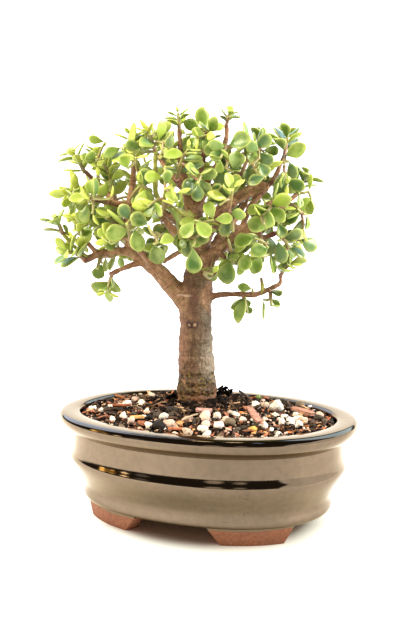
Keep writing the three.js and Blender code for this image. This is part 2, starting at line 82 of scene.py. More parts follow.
# Pot, in millimetres: inset from the lip's widest oval, then height
LIP_HALF_LENGTH = 102.5
LIP_HALF_WIDTH = 78.6
OVAL_POWER = 2.14
CORE_RADIUS = 60.0
RIM_HEIGHT = 70.2
BASE_HEIGHT = 11.3
FLOOR_HEIGHT = 17.0
UNDERSIDE_INSET = 22.6
WALL_OUTSIDE = [
    (18.8, 10.9), (16.9, 11.9), (16.0, 14.2), (16.6, 19.8), (14.3, 25.6), (11.4, 30.6), (8.9, 34.8),
    (7.35, 38.2), (7.35, 40.0), (8.1, 42.4), (8.6, 44.6), (8.9, 47.5), (9.1, 51.0), (9.2, 54.0),
    (9.25, 56.4),
]
LIP_OUTSIDE = [
    (9.2, 56.9), (8.2, 57.5), (6.5, 58.5), (4.5, 59.9), (2.5, 61.6), (0.9, 63.7), (0.15, 65.4), (0.1, 67.0),
    (0.7, 68.7), (2.0, 69.8), (3.8, RIM_HEIGHT),
]
WALL_INSIDE = [
    (12.2, RIM_HEIGHT), (13.2, 69.7), (14.1, 68.2), (14.7, 65.0), (15.0, 60.0), (15.0, 48.0), (15.0, 36.0),
    (20.0, 26.0), (25.0, FLOOR_HEIGHT),
]
FOOT_MIDDLE_ANGLE = 52.0
FOOT_TOP_HALF_SPAN = 23.5
FOOT_BOTTOM_HALF_SPAN = 16.5
FOOT_OUTER_INSET = 19.0
FOOT_THICKNESS = 12.0
FOOT_TAPER = 1.4
FOOT_SUNK = 1.0
DRAIN_RADIUS = 7.0
DRAIN_SPACING = 76.0
POT_SEGMENTS = 176

# Soil
SOIL_EDGE_HEIGHT = 67.6
SOIL_MOUND = 5.8
MOUND_REACH = 78.0
SOIL_RADIUS = LIP_HALF_LENGTH - 15.4
SOIL_FLOOR_RADIUS = LIP_HALF_LENGTH - 25.3
SOIL_SINK = 0.8
SCREEN_ROOM = 1.8
SOIL_RINGS = 52
SOIL_SEGMENTS = 150

# Plant frame, in millimetres from the trunk's foot: across to the right, away from the camera, and up
TRUNK_FOOT = Vector((-13.0, 15.0, 0.0))

# Wood, in the plant frame: each limb is a run of across, away, height and radius
LIMBS = {
    "trunk": [
        (0, 1, 46, 10), (0, 0, 62, 13.2), (0, 0, 72, 13.4), (0, 0, 80, 13.4), (0, 0, 94, 12.8),
        (-1, 0, 109, 12.1), (-1, 0, 123, 11.3), (-1.5, 0, 137, 11.2), (-1, 0, 148, 11.8),
        (0.5, 0, 160, 10.2), (1.5, 1, 178, 8.6), (-1, 2, 196, 6.6), (-6, 2, 213, 4.4),
        (-10, 1, 228, 3), (-12, 0, 242, 2.1), (-13, -1, 260, 1.6),
    ],
    "curled_twig": [
        (4, -6, 172, 2), (12, -14, 177.5, 1.8), (18.5, -16, 173.5, 1.7), (16, -17, 168, 1.6),
        (9, -17, 162, 1.5),
    ],
    "front_root": [(-3, -4, 84, 6), (-3, -7, 76, 6.4), (-3, -9, 64, 6)],
    "left_root": [(-5, -3, 78, 6), (-13, -7, 64, 4.5), (-25, -11, 54, 3)],
    "right_root": [(5, -2, 78, 6), (13, -5, 64, 4.5), (25, -8, 54, 3)],
    "back_root": [(1, 6, 80, 6), (3, 15, 67, 4.5), (5, 27, 56, 3)],
    "left_limb": [
        (-3, 0, 138, 8.5), (-11, -1, 147, 7.6), (-18, -2, 154, 6.6), (-26, -3, 163, 6),
        (-34, -4, 170, 5.4), (-41, -5, 175, 4.8), (-48, -6, 180, 4.2),
    ],
    "left_low": [(-44, -6, 177, 3.2), (-55, -8, 177.5, 2.6), (-64, -10, 176.5, 2.4), (-77, -14, 171, 2.2)],
    "left_spur": [(-67, -11, 175.5, 1.8), (-72, -13, 181, 1.6), (-76, -14, 186, 1.4)],
    "left_twig": [(-74, -13, 173, 1.6), (-82, -15, 180, 1.4), (-91, -17, 190, 1.2)],
    "left_under": [(-36, -5, 171, 2.6), (-48, -11, 167, 1.9), (-59, -16, 162, 1.8)],
    "left_upright": [
        (-46, -6, 178, 3.8), (-48, -8, 190, 2.8), (-46.5, -9, 208, 2.6), (-44, -10, 223, 2.2),
        (-43, -11, 237, 1.8),
    ],
    "left_stub": [(-46, -9, 209, 2.4), (-57, -13, 210, 2.3), (-69, -17, 213, 2.3)],
    "left_crown": [(-47, -8, 200, 2.4), (-58, 2, 212, 2.2), (-70, 6, 224, 1.9), (-78, 4, 232, 1.6)],
    "left_back": [(-40, -4, 174, 3.6), (-48, 12, 186, 3), (-56, 26, 200, 2.2), (-60, 34, 214, 1.6)],
    "left_front": [(-30, -5, 166, 3), (-36, -20, 176, 2.4), (-44, -34, 184, 1.8)],
    "inner_riser": [
        (-4, 0, 200, 3.4), (-16, -12, 206, 2.2), (-27, -18, 214, 1.9), (-28, -19, 232, 1.7),
        (-28, -19, 246, 1.5),
    ],
    "inner_stub": [(-8, -1, 218, 2.4), (-13, -12, 223, 2.1), (-14, -19, 226, 2)],
    "inner_twig": [(-2, -5, 180, 2.4), (-11, -13, 178, 1.8), (-23, -18, 171, 1.6)],
    "right_limb": [
        (0, 0, 178, 6.5), (7, -4, 192, 4.8), (13, -7, 203, 4.3), (22, -9, 211, 4.1),
        (32, -11, 217, 4), (40, -13, 221, 3.8), (47, -14, 221, 3),
    ],
    "right_riser": [(-3, 1, 204, 3.4), (6, -4, 219, 2.3), (18, -6, 226, 2), (29, -8, 230, 1.8)],
    "right_low": [
        (0, -2, 164, 6), (9, -8, 174, 4.6), (17, -11, 181, 3.9), (24, -13, 187, 3.4),
        (33, -15, 191.5, 3), (41, -17, 195, 2.6),
    ],
    "right_red_twig": [(35, -16, 190, 2), (44, -19, 188, 1.8), (52, -21, 191, 1.7)],
    "right_dark_twig": [(29, -14, 190, 2.4), (34, -12, 206, 2.2), (44, -11, 219, 1.9)],
    "right_far": [(39, -16, 194, 2.6), (50, -10, 203, 2.2), (60, -5, 211, 1.8), (68, -3, 218, 1.5)],
    "right_far_riser": [(43, -11, 217, 2), (52, -8, 229, 1.8), (58, -6, 243, 1.4)],
    "right_branch": [
        (5, -2, 145, 3.4), (14, -5, 148, 2.2), (29, -7, 149, 1.9), (40, -9, 149, 1.9),
        (51, -11, 154, 1.7), (56, -12, 157, 1.5), (56, -13, 163, 1.2),
    ],
    "right_branch_stub": [(44, -10, 150.5, 1.4), (44, -11, 155, 1.3), (43, -12, 161, 1.2)],
    "crown_right": [
        (-4, 2, 206, 3), (4, 6, 222, 2.4), (14, 8, 240, 2), (19, 8, 256, 1.8), (19, 7, 265, 1.6),
    ],
    "crown_middle": [(-5, 0, 212, 2.4), (1, -5, 228, 1.9), (4, -7, 245, 1.7)],
    "crown_left_back": [(-9, 1, 220, 2.4), (-20, 10, 232, 2), (-30, 14, 246, 1.6)],
    "crown_right_back": [(12, 8, 237, 2), (26, 16, 244, 1.8), (40, 18, 248, 1.4)],
    "back_right": [(1, 3, 168, 5), (12, 18, 182, 3.8), (24, 30, 198, 3), (34, 38, 212, 2.2)],
    "back_right_low": [(20, 27, 193, 2.4), (36, 32, 196, 2), (50, 34, 198, 1.6)],
    "back_middle": [(-1, 4, 184, 4.5), (0, 18, 198, 3.2), (2, 32, 214, 2.6), (2, 42, 228, 1.8)],
    "back_left": [(-3, 3, 176, 4.5), (-16, 20, 190, 3.2), (-28, 34, 204, 2.4), (-36, 42, 214, 1.8)],
    "front_left": [(-4, -3, 190, 3.6), (-14, -20, 198, 2.6), (-22, -36, 204, 2)],
    "front_right": [(4, -5, 186, 3.6), (12, -22, 196, 2.6), (20, -38, 204, 2)],
}

# Leafy shoots, in the plant frame: foot on the wood, tip, pairs of leaves, and longest leaf
SHOOTS = {
    "left_tip": ((-90, -17, 189), (-94, -19, 198), 3, 12),
    "left_outer": ((-76, -14, 172), (-86, -24, 178), 3, 15),
    "left_hanging": ((-64, -10, 176), (-67, -19, 166), 3, 13),
    "left_under": ((-57, -15.5, 163), (-60, -22, 151), 3, 12),
    "left_spur": ((-76, -14, 185), (-80, -19, 199), 3, 13),
    "left_stub": ((-60, -14, 210.5), (-72, -32, 213), 3, 14),
    "left_far": ((-69, -17, 213), (-87, -14, 216), 3, 11),
    "left_upper_outer": ((-78, 4, 231), (-86, 0, 244), 4, 13),
    "left_upper_inner": ((-69, 6, 223), (-70, 4, 246), 4, 14),
    "left_middle_high": ((-57, 1, 211), (-61, -6, 232), 3, 14),
    "left_middle_low": ((-48, -8, 192), (-60, -26, 200), 3, 14),
    "left_upright_tip": ((-43, -11, 236), (-46, -13, 255), 3, 12),
    "left_upright_side": ((-46, -9, 212), (-36, -26, 222), 3, 14),
    "left_back_high": ((-60, 33, 212), (-63, 36, 232), 4, 14),
    "left_back_low": ((-52, 20, 193), (-72, 22, 199), 3, 14),
    "left_front": ((-43, -33, 183), (-44, -48, 196), 4, 14),
    "left_inner": ((-29, -4, 166), (-28, -24, 184), 3, 13),
    "crown_tip": ((-13, -1, 259), (-14, -3, 271), 3, 9),
    "crown_left": ((-12, 0, 241), (-24, -2, 256), 4, 13),
    "crown_left_front": ((-28, -19, 244), (-34, -24, 256), 3, 12),
    "crown_middle": ((4, -7, 243), (5, -9, 258), 3, 12),
    "crown_right": ((19, 7, 264), (21, 5, 272), 3, 9),
    "crown_right_front": ((18, -6, 226), (21, -22, 243), 4, 14),
    "crown_left_back": ((-30, 14, 245), (-36, 18, 260), 3, 13),
    "crown_back": ((2, 42, 227), (0, 42, 246), 4, 14),
    "crown_right_back": ((39, 18, 248), (45, 20, 260), 3, 13),
    "crown_front": ((-14, -18, 226), (-9, -34, 240), 3, 14),
    "right_upper": ((58, -6, 242), (60, -7, 257), 3, 13),
    "right_upper_middle": ((29, -8, 230), (38, -13, 250), 4, 14),
    "right_tip": ((68, -3, 218), (74, -2, 230), 3, 12),
    "right_tip_low": ((61, -5, 211), (70, -15, 204), 3, 13),
    "right_middle": ((50, -10, 203), (44, -30, 210), 3, 14),
    "right_low": ((52, -21, 191), (60, -28, 182), 3, 14),
    "right_under": ((41, -17, 194), (42, -33, 180), 3, 14),
    "right_branch_tip": ((56, -13, 162), (62, -18, 170), 3, 13),
    "right_branch_hanging": ((31, -7, 149), (34, -14, 137), 2, 9),
    "right_branch_low": ((49, -10.5, 153), (50, -18, 142), 2, 9),
    "right_front": ((20, -12, 184), (26, -27, 170), 3, 14),
    "right_back_high": ((34, 38, 211), (41, 36, 228), 4, 14),
    "right_back_low": ((50, 34, 198), (62, 28, 206), 3, 14),
    "right_back_under": ((24, 30, 197), (28, 42, 180), 3, 14),
    "front_left": ((-22, -36, 204), (-20, -50, 218), 4, 15),
    "front_middle": ((-12, -17, 196), (-6, -36, 186), 3, 15),
    "front_right": ((20, -38, 204), (22, -52, 218), 4, 14),
    "front_low": ((12, -10, 177), (9, -19, 161), 2, 12),
    "back_middle": ((1, 24, 205), (-6, 46, 204), 4, 14),
}


# Shared helpers

def vary(row, column):
    """A repeatable number from 0 to 1."""
    wave = math.sin(row * 12.9898 + column * 78.233) * 43758.5453
    return wave - math.floor(wave)


def clamped(value):
    return max(0.0, min(1.0, value))


def view_way(across, away, up):
    """A direction given as across, away from the camera and up, in the row frame."""
    cos, sin = math.cos(VIEW_YAW), math.sin(VIEW_YAW)
    return Vector((across * cos - away * sin, across * sin + away * cos, up))


def in_plant(point):
    """From the plant frame to the row frame, both in millimetres."""
    return view_way(*point[:3]) + TRUNK_FOOT


def along_sight(point, away):
    """The point moved along its line of sight until it lies that far behind the trunk."""
    eye = (VIEW_TARGET + VIEW_BACK * VIEW_DISTANCE) / MM
    share = ((TRUNK_FOOT - eye).dot(INTO_PICTURE) + away) / (point - eye).dot(INTO_PICTURE)
    return eye + (point - eye) * share


def seen_at(point):
    """The point's across and height as seen against the trunk's plane, and how far behind that it lies."""
    seen = along_sight(point, 0.0)
    across = (seen - TRUNK_FOOT).dot(view_way(1.0, 0.0, 0.0))
    return across, seen.z, (point - TRUNK_FOOT).dot(INTO_PICTURE)


def catmull_rom(points, run):
    """A point of the uniform curve through the points, run going from 0 to 1."""
    place = run * (len(points) - 1)
    at = min(int(place), len(points) - 2)
    t = place - at
    ends = [points[max(at - 1, 0)], points[at], points[at + 1], points[min(at + 2, len(points) - 1)]]
    p0, p1, p2, p3 = (np.array(end, float) for end in ends)
    slope_in, slope_out = (p2 - p0) / 2, (p3 - p1) / 2
    cube, square = t ** 3, t ** 2
    return ((2 * p1 - 2 * p2 + slope_in + slope_out) * cube
            + (-3 * p1 + 3 * p2 - 2 * slope_in - slope_out) * square + slope_in * t + p1)


def ways_along(places):
    """The direction of a path at each of its places."""
    last = len(places) - 1
    return [(places[min(k + 1, last)] - places[max(k - 1, 0)]).normalized() for k in range(last + 1)]


def ring_faces(rings, around, first, start, end):
    """Faces of a closed body: rings of points from the first on, and one point at each end."""
    faces = []
    for k in range(around):
        following = (k + 1) % around
        faces.append((start, first + following, first + k))
        for ring in range(rings - 1):
            low, high = first + ring * around, first + (ring + 1) * around
            faces.append((low + k, low + following, high + following, high + k))
        top = first + (rings - 1) * around
        faces.append((top + k, top + following, end))
    return faces


class Parts:
    """The vertices and faces of several parts in one list each."""

    def __init__(self):
        self.vertices, self.faces = [], []

    def add_part(self, vertices, faces):
        offset = len(self.vertices)
        self.vertices += vertices
        self.faces += [tuple(index + offset for index in face) for face in faces]


def new_object(name, vertices_mm, faces, materials):
    """A smooth mesh object from vertices in millimetres."""
    mesh = bpy.data.meshes.new(name)
    mesh.from_pydata((np.asarray(vertices_mm, float) * MM).tolist(), [], faces)
    mesh.update()
    for material in materials:
        mesh.materials.append(material)
    mesh.shade_smooth()
    piece = bpy.data.objects.new(name, mesh)
    bpy.context.scene.collection.objects.link(piece)
    return piece


def object_from(name, body):
    """An object outside the scene from a bmesh, which is freed."""
    mesh = bpy.data.meshes.new(name)
    body.to_mesh(mesh)
    body.free()
    return bpy.data.objects.new(name, mesh)


def apply_modifiers(piece):
    """Replaces the piece's mesh by the evaluated one."""
    graph = bpy.context.evaluated_depsgraph_get()
    mesh = bpy.data.meshes.new_from_object(piece.evaluated_get(graph))
    piece.modifiers.clear()
    old = piece.data
    piece.data = mesh
    bpy.data.meshes.remove(old)


def set_attribute(mesh, name, values, kind="FLOAT", domain="POINT"):
    """Stores one number, or one colour or vector, for each point or face."""
    attribute = mesh.attributes.new(name, kind, domain)
    key = {"FLOAT": "value", "FLOAT_VECTOR": "vector", "FLOAT_COLOR": "color"}[kind]
    attribute.data.foreach_set(key, np.asarray(values, np.float32).ravel())


class Shader:
    """A short way to write the nodes of a material, or of the world."""

    def __init__(self, name, world=False):
        self.made = bpy.data.worlds.new(name) if world else bpy.data.materials.new(name)
        self.made.use_nodes = True
        self.tree = self.made.node_tree
        self.tree.nodes.clear()
        self.place = self.node("ShaderNodeTexCoord").outputs["Generated" if world else "Object"]

    def node(self, kind, inputs=None, **settings):
        made = self.tree.nodes.new(kind)
        for key, value in settings.items():
            setattr(made, key, value)
        for key, value in (inputs or {}).items():
            self.feed(made.inputs[key], value)
        return made

    def feed(self, socket, value):
        if isinstance(value, bpy.types.NodeSocket):
            self.tree.links.new(value, socket)
        elif isinstance(value, tuple) and len(value) == 3 and socket.type == "RGBA":
            socket.default_value = (*value, 1.0)
        else:
            socket.default_value = value

    def attribute(self, name, output="Fac"):
        return self.node("ShaderNodeAttribute", attribute_name=name).outputs[output]

    def stretched(self, place, scale):
        return self.node("ShaderNodeMapping", {"Vector": place, "Scale": scale}).outputs["Vector"]

    def noise(self, scale, detail=4.0, place=None, roughness=0.55, distortion=0.0):
        inputs = {"Vector": place or self.place, "Scale": scale, "Detail": detail,
                  "Roughness": roughness, "Distortion": distortion}
        return self.node("ShaderNodeTexNoise", inputs).outputs["Fac"]

    def cells(self, scale):
        return self.node("ShaderNodeTexVoronoi", {"Vector": self.place, "Scale": scale}).outputs["Distance"]

    def ramp(self, value, stops, smooth=False):
        made = self.node("ShaderNodeValToRGB", {"Fac": value})
        elements = made.color_ramp.elements
        made.color_ramp.interpolation = "EASE" if smooth else "LINEAR"
        while len(elements) < len(stops):
            elements.new(0.5)
        for element, (position, colour) in zip(elements, stops):
            element.position = position
            element.color = (*colour, 1.0) if isinstance(colour, tuple) else (colour, colour, colour, 1.0)
        return made.outputs["Color"]

    def mix(self, share, first, second, blend="MIX"):
        made = self.node("ShaderNodeMix", data_type="RGBA", blend_type=blend)
        for socket, value in zip((made.inputs[0], made.inputs[6], made.inputs[7]), (share, first, second)):
            self.feed(socket, value)
        return made.outputs[2]

    def stain(self, tone, value, stops, colour):
        """The tone with a colour over it where the value's ramp says so."""
        return self.mix(self.ramp(value, stops), tone, colour)

    def math(self, operation, *values, clamp=False):
        made = self.node("ShaderNodeMath", operation=operation, use_clamp=clamp)
        for socket, value in zip(made.inputs, values):
            self.feed(socket, value)
        return made.outputs[0]

    def times(self, first, second):
        return self.math("MULTIPLY", first, second)

    def scaled(self, value, factor, offset):
        return self.math("MULTIPLY_ADD", value, factor, offset)

    def rest_of(self, share):
        return self.math("SUBTRACT", 1.0, share)

    def along(self, place, way):
        """How far a place lies along a direction."""
        inputs = {0: place, 1: tuple(way)}
        return self.node("ShaderNodeVectorMath", inputs, operation="DOT_PRODUCT").outputs["Value"]

    def between(self, value, low, high):
        """A smooth rise from 0 at the low value to 1 at the high one."""
        inputs = {"Value": value, "From Min": low, "From Max": high}
        made = self.node("ShaderNodeMapRange", inputs, interpolation_type="SMOOTHSTEP")
        return made.outputs["Result"]

    def bump(self, height, strength, distance, normal=None):
        inputs = {"Height": height, "Strength": strength, "Distance": distance}
        if normal:
            inputs["Normal"] = normal
        return self.node("ShaderNodeBump", inputs).outputs["Normal"]

    def height_above(self, level_mm, blur_mm, wobble=None):
        """0 below the level and 1 above it, blurred, with the edge moved by the wobble."""
        z = self.node("ShaderNodeSeparateXYZ", {"Vector": self.place}).outputs["Z"]
        raised = self.scaled(z, 1 / (blur_mm * MM), -level_mm / blur_mm)
        if wobble:
            raised = self.math("ADD", raised, wobble)
        return self.math("ADD", raised, 0.5, clamp=True)

    def principled(self, **inputs):
        named = {key.replace("_", " "): value for key, value in inputs.items()}
        return self.node("ShaderNodeBsdfPrincipled", named).outputs["BSDF"]

    def finish(self, surface):
        self.node("ShaderNodeOutputMaterial", {"Surface": surface})
        return self.made
# Materials

# Heights on the pot, in millimetres: where the glaze ends over the clay, the scuffed wall, the dull fold
# under the lip, and the lip's top
GLAZE_END = 9.4
SCUFFED = (14.0, 36.0)
DULL_FOLD = (57.0, 59.3)
LIP_TOP = 69.3

# Heights on the trunk: the moss, its reddish part, and the pale collar at the first limb
MOSS_TOP = 93.0
RED_MOSS_TOP = 84.0
COLLAR = (147.2, 148.6)

# Two pruning knots on the trunk's front, in the plant frame
KNOTS = ((-6.0, -10.8, 128), (-1.5, -10.8, 128))


def glaze_tone(s, throwing):
    """Brown with throwing rings, mottling and specks, scuffed low on the wall, with painted shade on the
    lip's top.
    """
    tone = s.ramp(s.noise(14.0, 3.0), [(0.3, (0.148, 0.104, 0.066)), (0.7, (0.190, 0.136, 0.088))])
    tone = s.stain(tone, throwing, [(0.4, 0.0), (0.75, 0.3)], (0.115, 0.087, 0.056))
    tone = s.stain(tone, s.noise(240.0, 4.0), [(0.4, 0.0), (0.7, 0.3)], (0.09, 0.072, 0.048))
    speck = s.ramp(s.cells(900.0), [(0.0, 1.0), (0.16, 0.0)])
    tone = s.mix(s.times(speck, 0.15), tone, (0.24, 0.2, 0.15))
    scuffs = s.noise(1.0, 5.0, s.stretched(s.place, (170.0, 170.0, 110.0)), 0.7, 1.5)
    scuffs = s.ramp(scuffs, [(0.60, 0.0), (0.68, 0.55)])
    low = s.math("SUBTRACT", s.height_above(SCUFFED[0], 4.0), s.height_above(SCUFFED[1], 6.0))
    patches = s.ramp(s.noise(24.0, 1.0), [(0.5, 0.0), (0.6, 1.0)])
    tone = s.mix(s.times(s.times(scuffs, low), patches), tone, (0.075, 0.058, 0.036))
    # Painted shade: the lip's top is darkened so that it mirrors less light.
    return s.mix(s.times(s.height_above(LIP_TOP, 0.5), 0.4), tone, (0.085, 0.064, 0.045))


def bare_clay(s):
    """Dry red clay with paler and darker grains."""
    grain = s.noise(520.0, 6.0)
    tone = s.ramp(grain, [
        (0.3, (0.27, 0.092, 0.040)), (0.6, (0.37, 0.138, 0.064)), (0.8, (0.47, 0.205, 0.105)),
    ])
    tone = s.stain(tone, s.noise(90.0, 3.0), [(0.45, 0.0), (0.75, 0.4)], (0.20, 0.08, 0.045))
    return s.principled(Base_Color=tone, Roughness=0.82, Normal=s.bump(grain, 0.5, 0.0006))


def glaze_material():
    """Lustrous brown glaze over red clay, which stays bare on the feet and under the base."""
    s = Shader("pot_glaze")
    throwing = s.noise(1.0, 4.0, s.stretched(s.place, (9.0, 9.0, 210.0)))
    fold = s.math("SUBTRACT", s.height_above(DULL_FOLD[0], 0.8), s.height_above(DULL_FOLD[1], 1.6))
    roughness = s.scaled(fold, 0.42, s.scaled(s.noise(60.0, 3.0), 0.06, 0.05))
    normal = s.bump(s.noise(34.0, 2.0), 0.10, 0.0014)
    normal = s.bump(throwing, 0.06, 0.0005, normal)
    normal = s.bump(s.noise(700.0, 2.0), 0.04, 0.0002, normal)
    glaze = s.principled(Base_Color=glaze_tone(s, throwing), Metallic=1.0, Roughness=roughness,
                         Normal=normal, Specular_Tint=(1.0, 0.92, 0.80))
    glazed = s.height_above(GLAZE_END, 0.7, s.scaled(s.noise(55.0, 2.0), 5.0, -2.5))
    mixed = s.node("ShaderNodeMixShader", {0: glazed, 1: bare_clay(s), 2: glaze})
    return s.finish(mixed.outputs[0])


def old_bark(s, fibre, furrow, across, thickness):
    """Brown bark with painted shade down the middle, redder painted light at the left, a painted grey
    highlight at the right, and tan on thin limbs.
    """
    old = s.ramp(furrow, [
        (0.28, (0.018, 0.008, 0.0035)), (0.43, (0.068, 0.032, 0.012)),
        (0.58, (0.135, 0.070, 0.028)), (0.78, (0.29, 0.175, 0.085)),
    ])
    # Painted shade: a darker band down the trunk's middle, which faces the camera.
    from_middle = s.math("ABSOLUTE", s.math("ADD", across, -0.001))
    old = s.stain(old, from_middle, [(0.002, 0.62), (0.009, 0.0)], (0.060, 0.032, 0.012))
    # Painted light: the trunk's left side is lighter and redder.
    old = s.stain(old, s.times(across, -1.0), [(0.004, 0.0), (0.011, 0.5)], (0.29, 0.135, 0.080))
    old = s.stain(old, fibre, [(0.35, 0.5), (0.6, 0.0)], (0.045, 0.022, 0.012))
    old = s.stain(old, fibre, [(0.58, 0.0), (0.78, 0.6)], (0.42, 0.27, 0.15))
    old = s.stain(old, s.noise(75.0, 4.0), [(0.5, 0.0), (0.68, 0.6)], (0.17, 0.072, 0.042))
    # Painted highlight: grey bark on the right side of the thick trunk.
    right_highlight = s.ramp(s.scaled(s.noise(120.0, 3.0), 0.012, across), [(0.006, 0.0), (0.013, 0.75)])
    right_highlight = s.times(right_highlight, s.ramp(thickness, [(0.008, 0.0), (0.0105, 1.0)]))
    highlight_grey = s.ramp(fibre, [
        (0.35, (0.10, 0.074, 0.043)), (0.6, (0.24, 0.195, 0.125)), (0.8, (0.38, 0.335, 0.24)),
    ])
    old = s.mix(right_highlight, old, highlight_grey)
    tan = s.ramp(furrow, [
        (0.30, (0.12, 0.055, 0.020)), (0.48, (0.34, 0.175, 0.075)), (0.70, (0.56, 0.34, 0.175)),
    ])
    tan = s.stain(tan, s.noise(160.0, 3.0), [(0.52, 0.0), (0.66, 0.6)], (0.20, 0.16, 0.045))
    # Thin limbs are tan, their own paler bark brightened by painted light that changes across the view.
    painted_light_across = s.ramp(s.math("ADD", across, 0.06), [(0.0, 1.0), (0.045, 0.85), (0.07, 0.5), (0.09, 0.8)])
    thin = s.ramp(thickness, [(0.0062, 1.0), (0.0100, 0.0)])
    return s.mix(s.times(painted_light_across, thin), old, tan)


def mossy_foot(s, tone):
    """Dark moss over the trunk's foot, reddish down at the soil."""
    above_moss = s.height_above(MOSS_TOP, 8.0, s.scaled(s.noise(220.0, 3.0), 6.0, -3.0))
    moss = s.ramp(s.noise(480.0, 5.0), [
        (0.34, (0.007, 0.004, 0.002)), (0.5, (0.036, 0.019, 0.006)),
        (0.62, (0.10, 0.064, 0.014)), (0.8, (0.34, 0.21, 0.07)),
    ])
    reddish = s.ramp(s.noise(150.0, 3.0), [(0.45, 0.1), (0.6, 0.8)])
    reddish = s.times(reddish, s.rest_of(s.height_above(RED_MOSS_TOP, 8.0)))
    return s.mix(above_moss, s.mix(reddish, moss, (0.15, 0.062, 0.026)), tone)


def collar(s, across):
    """The share of a pale line across the trunk's left side."""
    wander = s.scaled(s.noise(140.0, 2.0), 3.0, -1.5)
    line = s.times(s.height_above(COLLAR[0], 0.7, wander), s.rest_of(s.height_above(COLLAR[1], 0.7, wander)))
    reach = s.ramp(s.times(across, -10.0), [(0.03, 0.0), (0.06, 0.4), (0.13, 0.5), (0.15, 0.0)])
    return s.times(line, reach)


def with_knots(s, tone, normal):
    """A pale heart in a dark raised ring round each knot, by the distance from it in centimetres."""
    for knot in KNOTS:
        ends = {0: s.place, 1: tuple(in_plant(knot) * MM)}
        metres = s.node("ShaderNodeVectorMath", ends, operation="DISTANCE").outputs["Value"]
        away = s.scaled(metres, 100.0, s.times(s.noise(420.0, 3.0), 0.3))
        tone = s.stain(tone, away, [(0.36, 0.9), (0.47, 0.0)], (0.034, 0.014, 0.008))
        tone = s.stain(tone, away, [(0.24, 0.85), (0.31, 0.0)], (0.34, 0.20, 0.11))
        ring = s.ramp(away, [(0.18, 0.2), (0.33, 1.0), (0.50, 0.0)])
        normal = s.bump(ring, 0.6, 0.0008, normal)
    return tone, normal


def bark_material():
    """Warm brown wrinkled bark, mossy at the foot, with wine red twig ends and pink fresh cuts."""
    s = Shader("jade_bark")
    grain_place = s.attribute("bark_place", "Vector")
    thickness = s.attribute("bark_radius")
    fibre = s.noise(1.0, 6.0, s.stretched(grain_place, (1100.0, 1100.0, 420.0)), 0.62, 0.4)
    rings = s.noise(1.0, 4.0, s.stretched(grain_place, (150.0, 150.0, 1150.0)), 0.5, 0.8)
    furrow = s.noise(1.0, 5.0, s.stretched(grain_place, (330.0, 330.0, 130.0)), 0.6, 1.0)
    from_foot = s.node("ShaderNodeVectorMath", {0: s.place, 1: tuple(-TRUNK_FOOT * MM)}).outputs[0]
    across = s.along(from_foot, view_way(1.0, 0.0, 0.0))
    young = s.ramp(fibre, [
        (0.3, (0.09, 0.032, 0.016)), (0.55, (0.21, 0.088, 0.042)), (0.8, (0.42, 0.23, 0.12)),
    ])
    old = old_bark(s, fibre, furrow, across, thickness)
    tone = s.mix(s.ramp(thickness, [(0.0016, 0.15), (0.0030, 1.0)]), young, old)
    tone = s.stain(tone, rings, [(0.36, 0.45), (0.5, 0.0)], (0.035, 0.018, 0.011))
    green = s.ramp(fibre, [(0.3, (0.20, 0.19, 0.035)), (0.6, (0.36, 0.35, 0.07)), (0.8, (0.50, 0.46, 0.16))])
    tone = mossy_foot(s, s.mix(s.attribute("bark_green"), tone, green))
    tone = s.mix(collar(s, across), tone, (0.56, 0.40, 0.26))
    tone = s.mix(s.attribute("bark_wine"), tone, (0.105, 0.026, 0.018))
    fresh = s.ramp(s.noise(700.0, 3.0), [(0.3, (0.30, 0.09, 0.07)), (0.7, (0.62, 0.30, 0.24))])
    tone = s.mix(s.attribute("bark_cut"), tone, fresh)
    tone, normal = with_knots(s, tone, s.bump(furrow, 0.5, 0.0010))
    normal = s.bump(rings, 0.35, 0.0004, normal)
    normal = s.bump(fibre, 0.5, 0.0004, normal)
    normal = s.bump(s.noise(900.0, 4.0), 0.4, 0.0003, normal)
    return s.finish(s.principled(Base_Color=tone, Roughness=0.6, Normal=normal, Specular_IOR_Level=0.2))


def leaf_material():
    """Plump waxy leaves, from yellow-green when young to deep green, with painted light, shade and sheen,
    and pale rims lit through.
    """
    s = Shader("jade_leaf")
    chance = s.attribute("leaf_chance")
    margin = s.attribute("leaf_margin")
    # The age also carries painted light and shade: paler at the upper left, darker at the upper right and
    # deep inside.
    tone = s.ramp(s.attribute("leaf_age"), [
        (0.0, (0.54, 0.58, 0.090)), (0.25, (0.315, 0.405, 0.048)), (0.55, (0.130, 0.210, 0.024)),
        (0.8, (0.050, 0.108, 0.016)), (1.0, (0.020, 0.054, 0.014)),
    ])
    # Painted sheen: pale blotches over the leaves.
    tone = s.stain(tone, s.noise(120.0, 3.0), [(0.42, 0.0), (0.70, 0.5)], (0.42, 0.47, 0.15))
    tone = s.stain(tone, chance, [(0.72, 0.0), (1.0, 0.6)], (0.09, 0.18, 0.075))
    pale_rim = s.times(margin, s.ramp(chance, [(0.0, 0.2), (0.4, 0.8)]))
    tone = s.mix(pale_rim, tone, (0.52, 0.54, 0.13))
    red_rim = s.times(margin, s.ramp(chance, [(0.0, 0.6), (0.1, 0.0)]))
    tone = s.mix(red_rim, tone, (0.40, 0.13, 0.06))
    normal = s.bump(s.noise(230.0, 2.0), 0.22, 0.0006)
    normal = s.bump(s.cells(1900.0), 0.12, 0.0001, normal)
    roughness = s.scaled(s.noise(320.0, 2.0), 0.2, 0.20)
    body = s.principled(Base_Color=tone, Roughness=roughness, Normal=normal, IOR=1.38, Coat_Weight=0.3,
                        Coat_Roughness=0.2, Coat_IOR=1.3, Specular_Tint=(1.0, 1.0, 0.55))
    glow_tone = s.mix(0.5, tone, (0.56, 0.66, 0.07))
    glow = s.node("ShaderNodeBsdfTranslucent", {"Color": glow_tone, "Normal": normal}).outputs[0]
    return s.finish(s.node("ShaderNodeMixShader", {0: 0.24, 1: body, 2: glow}).outputs[0])


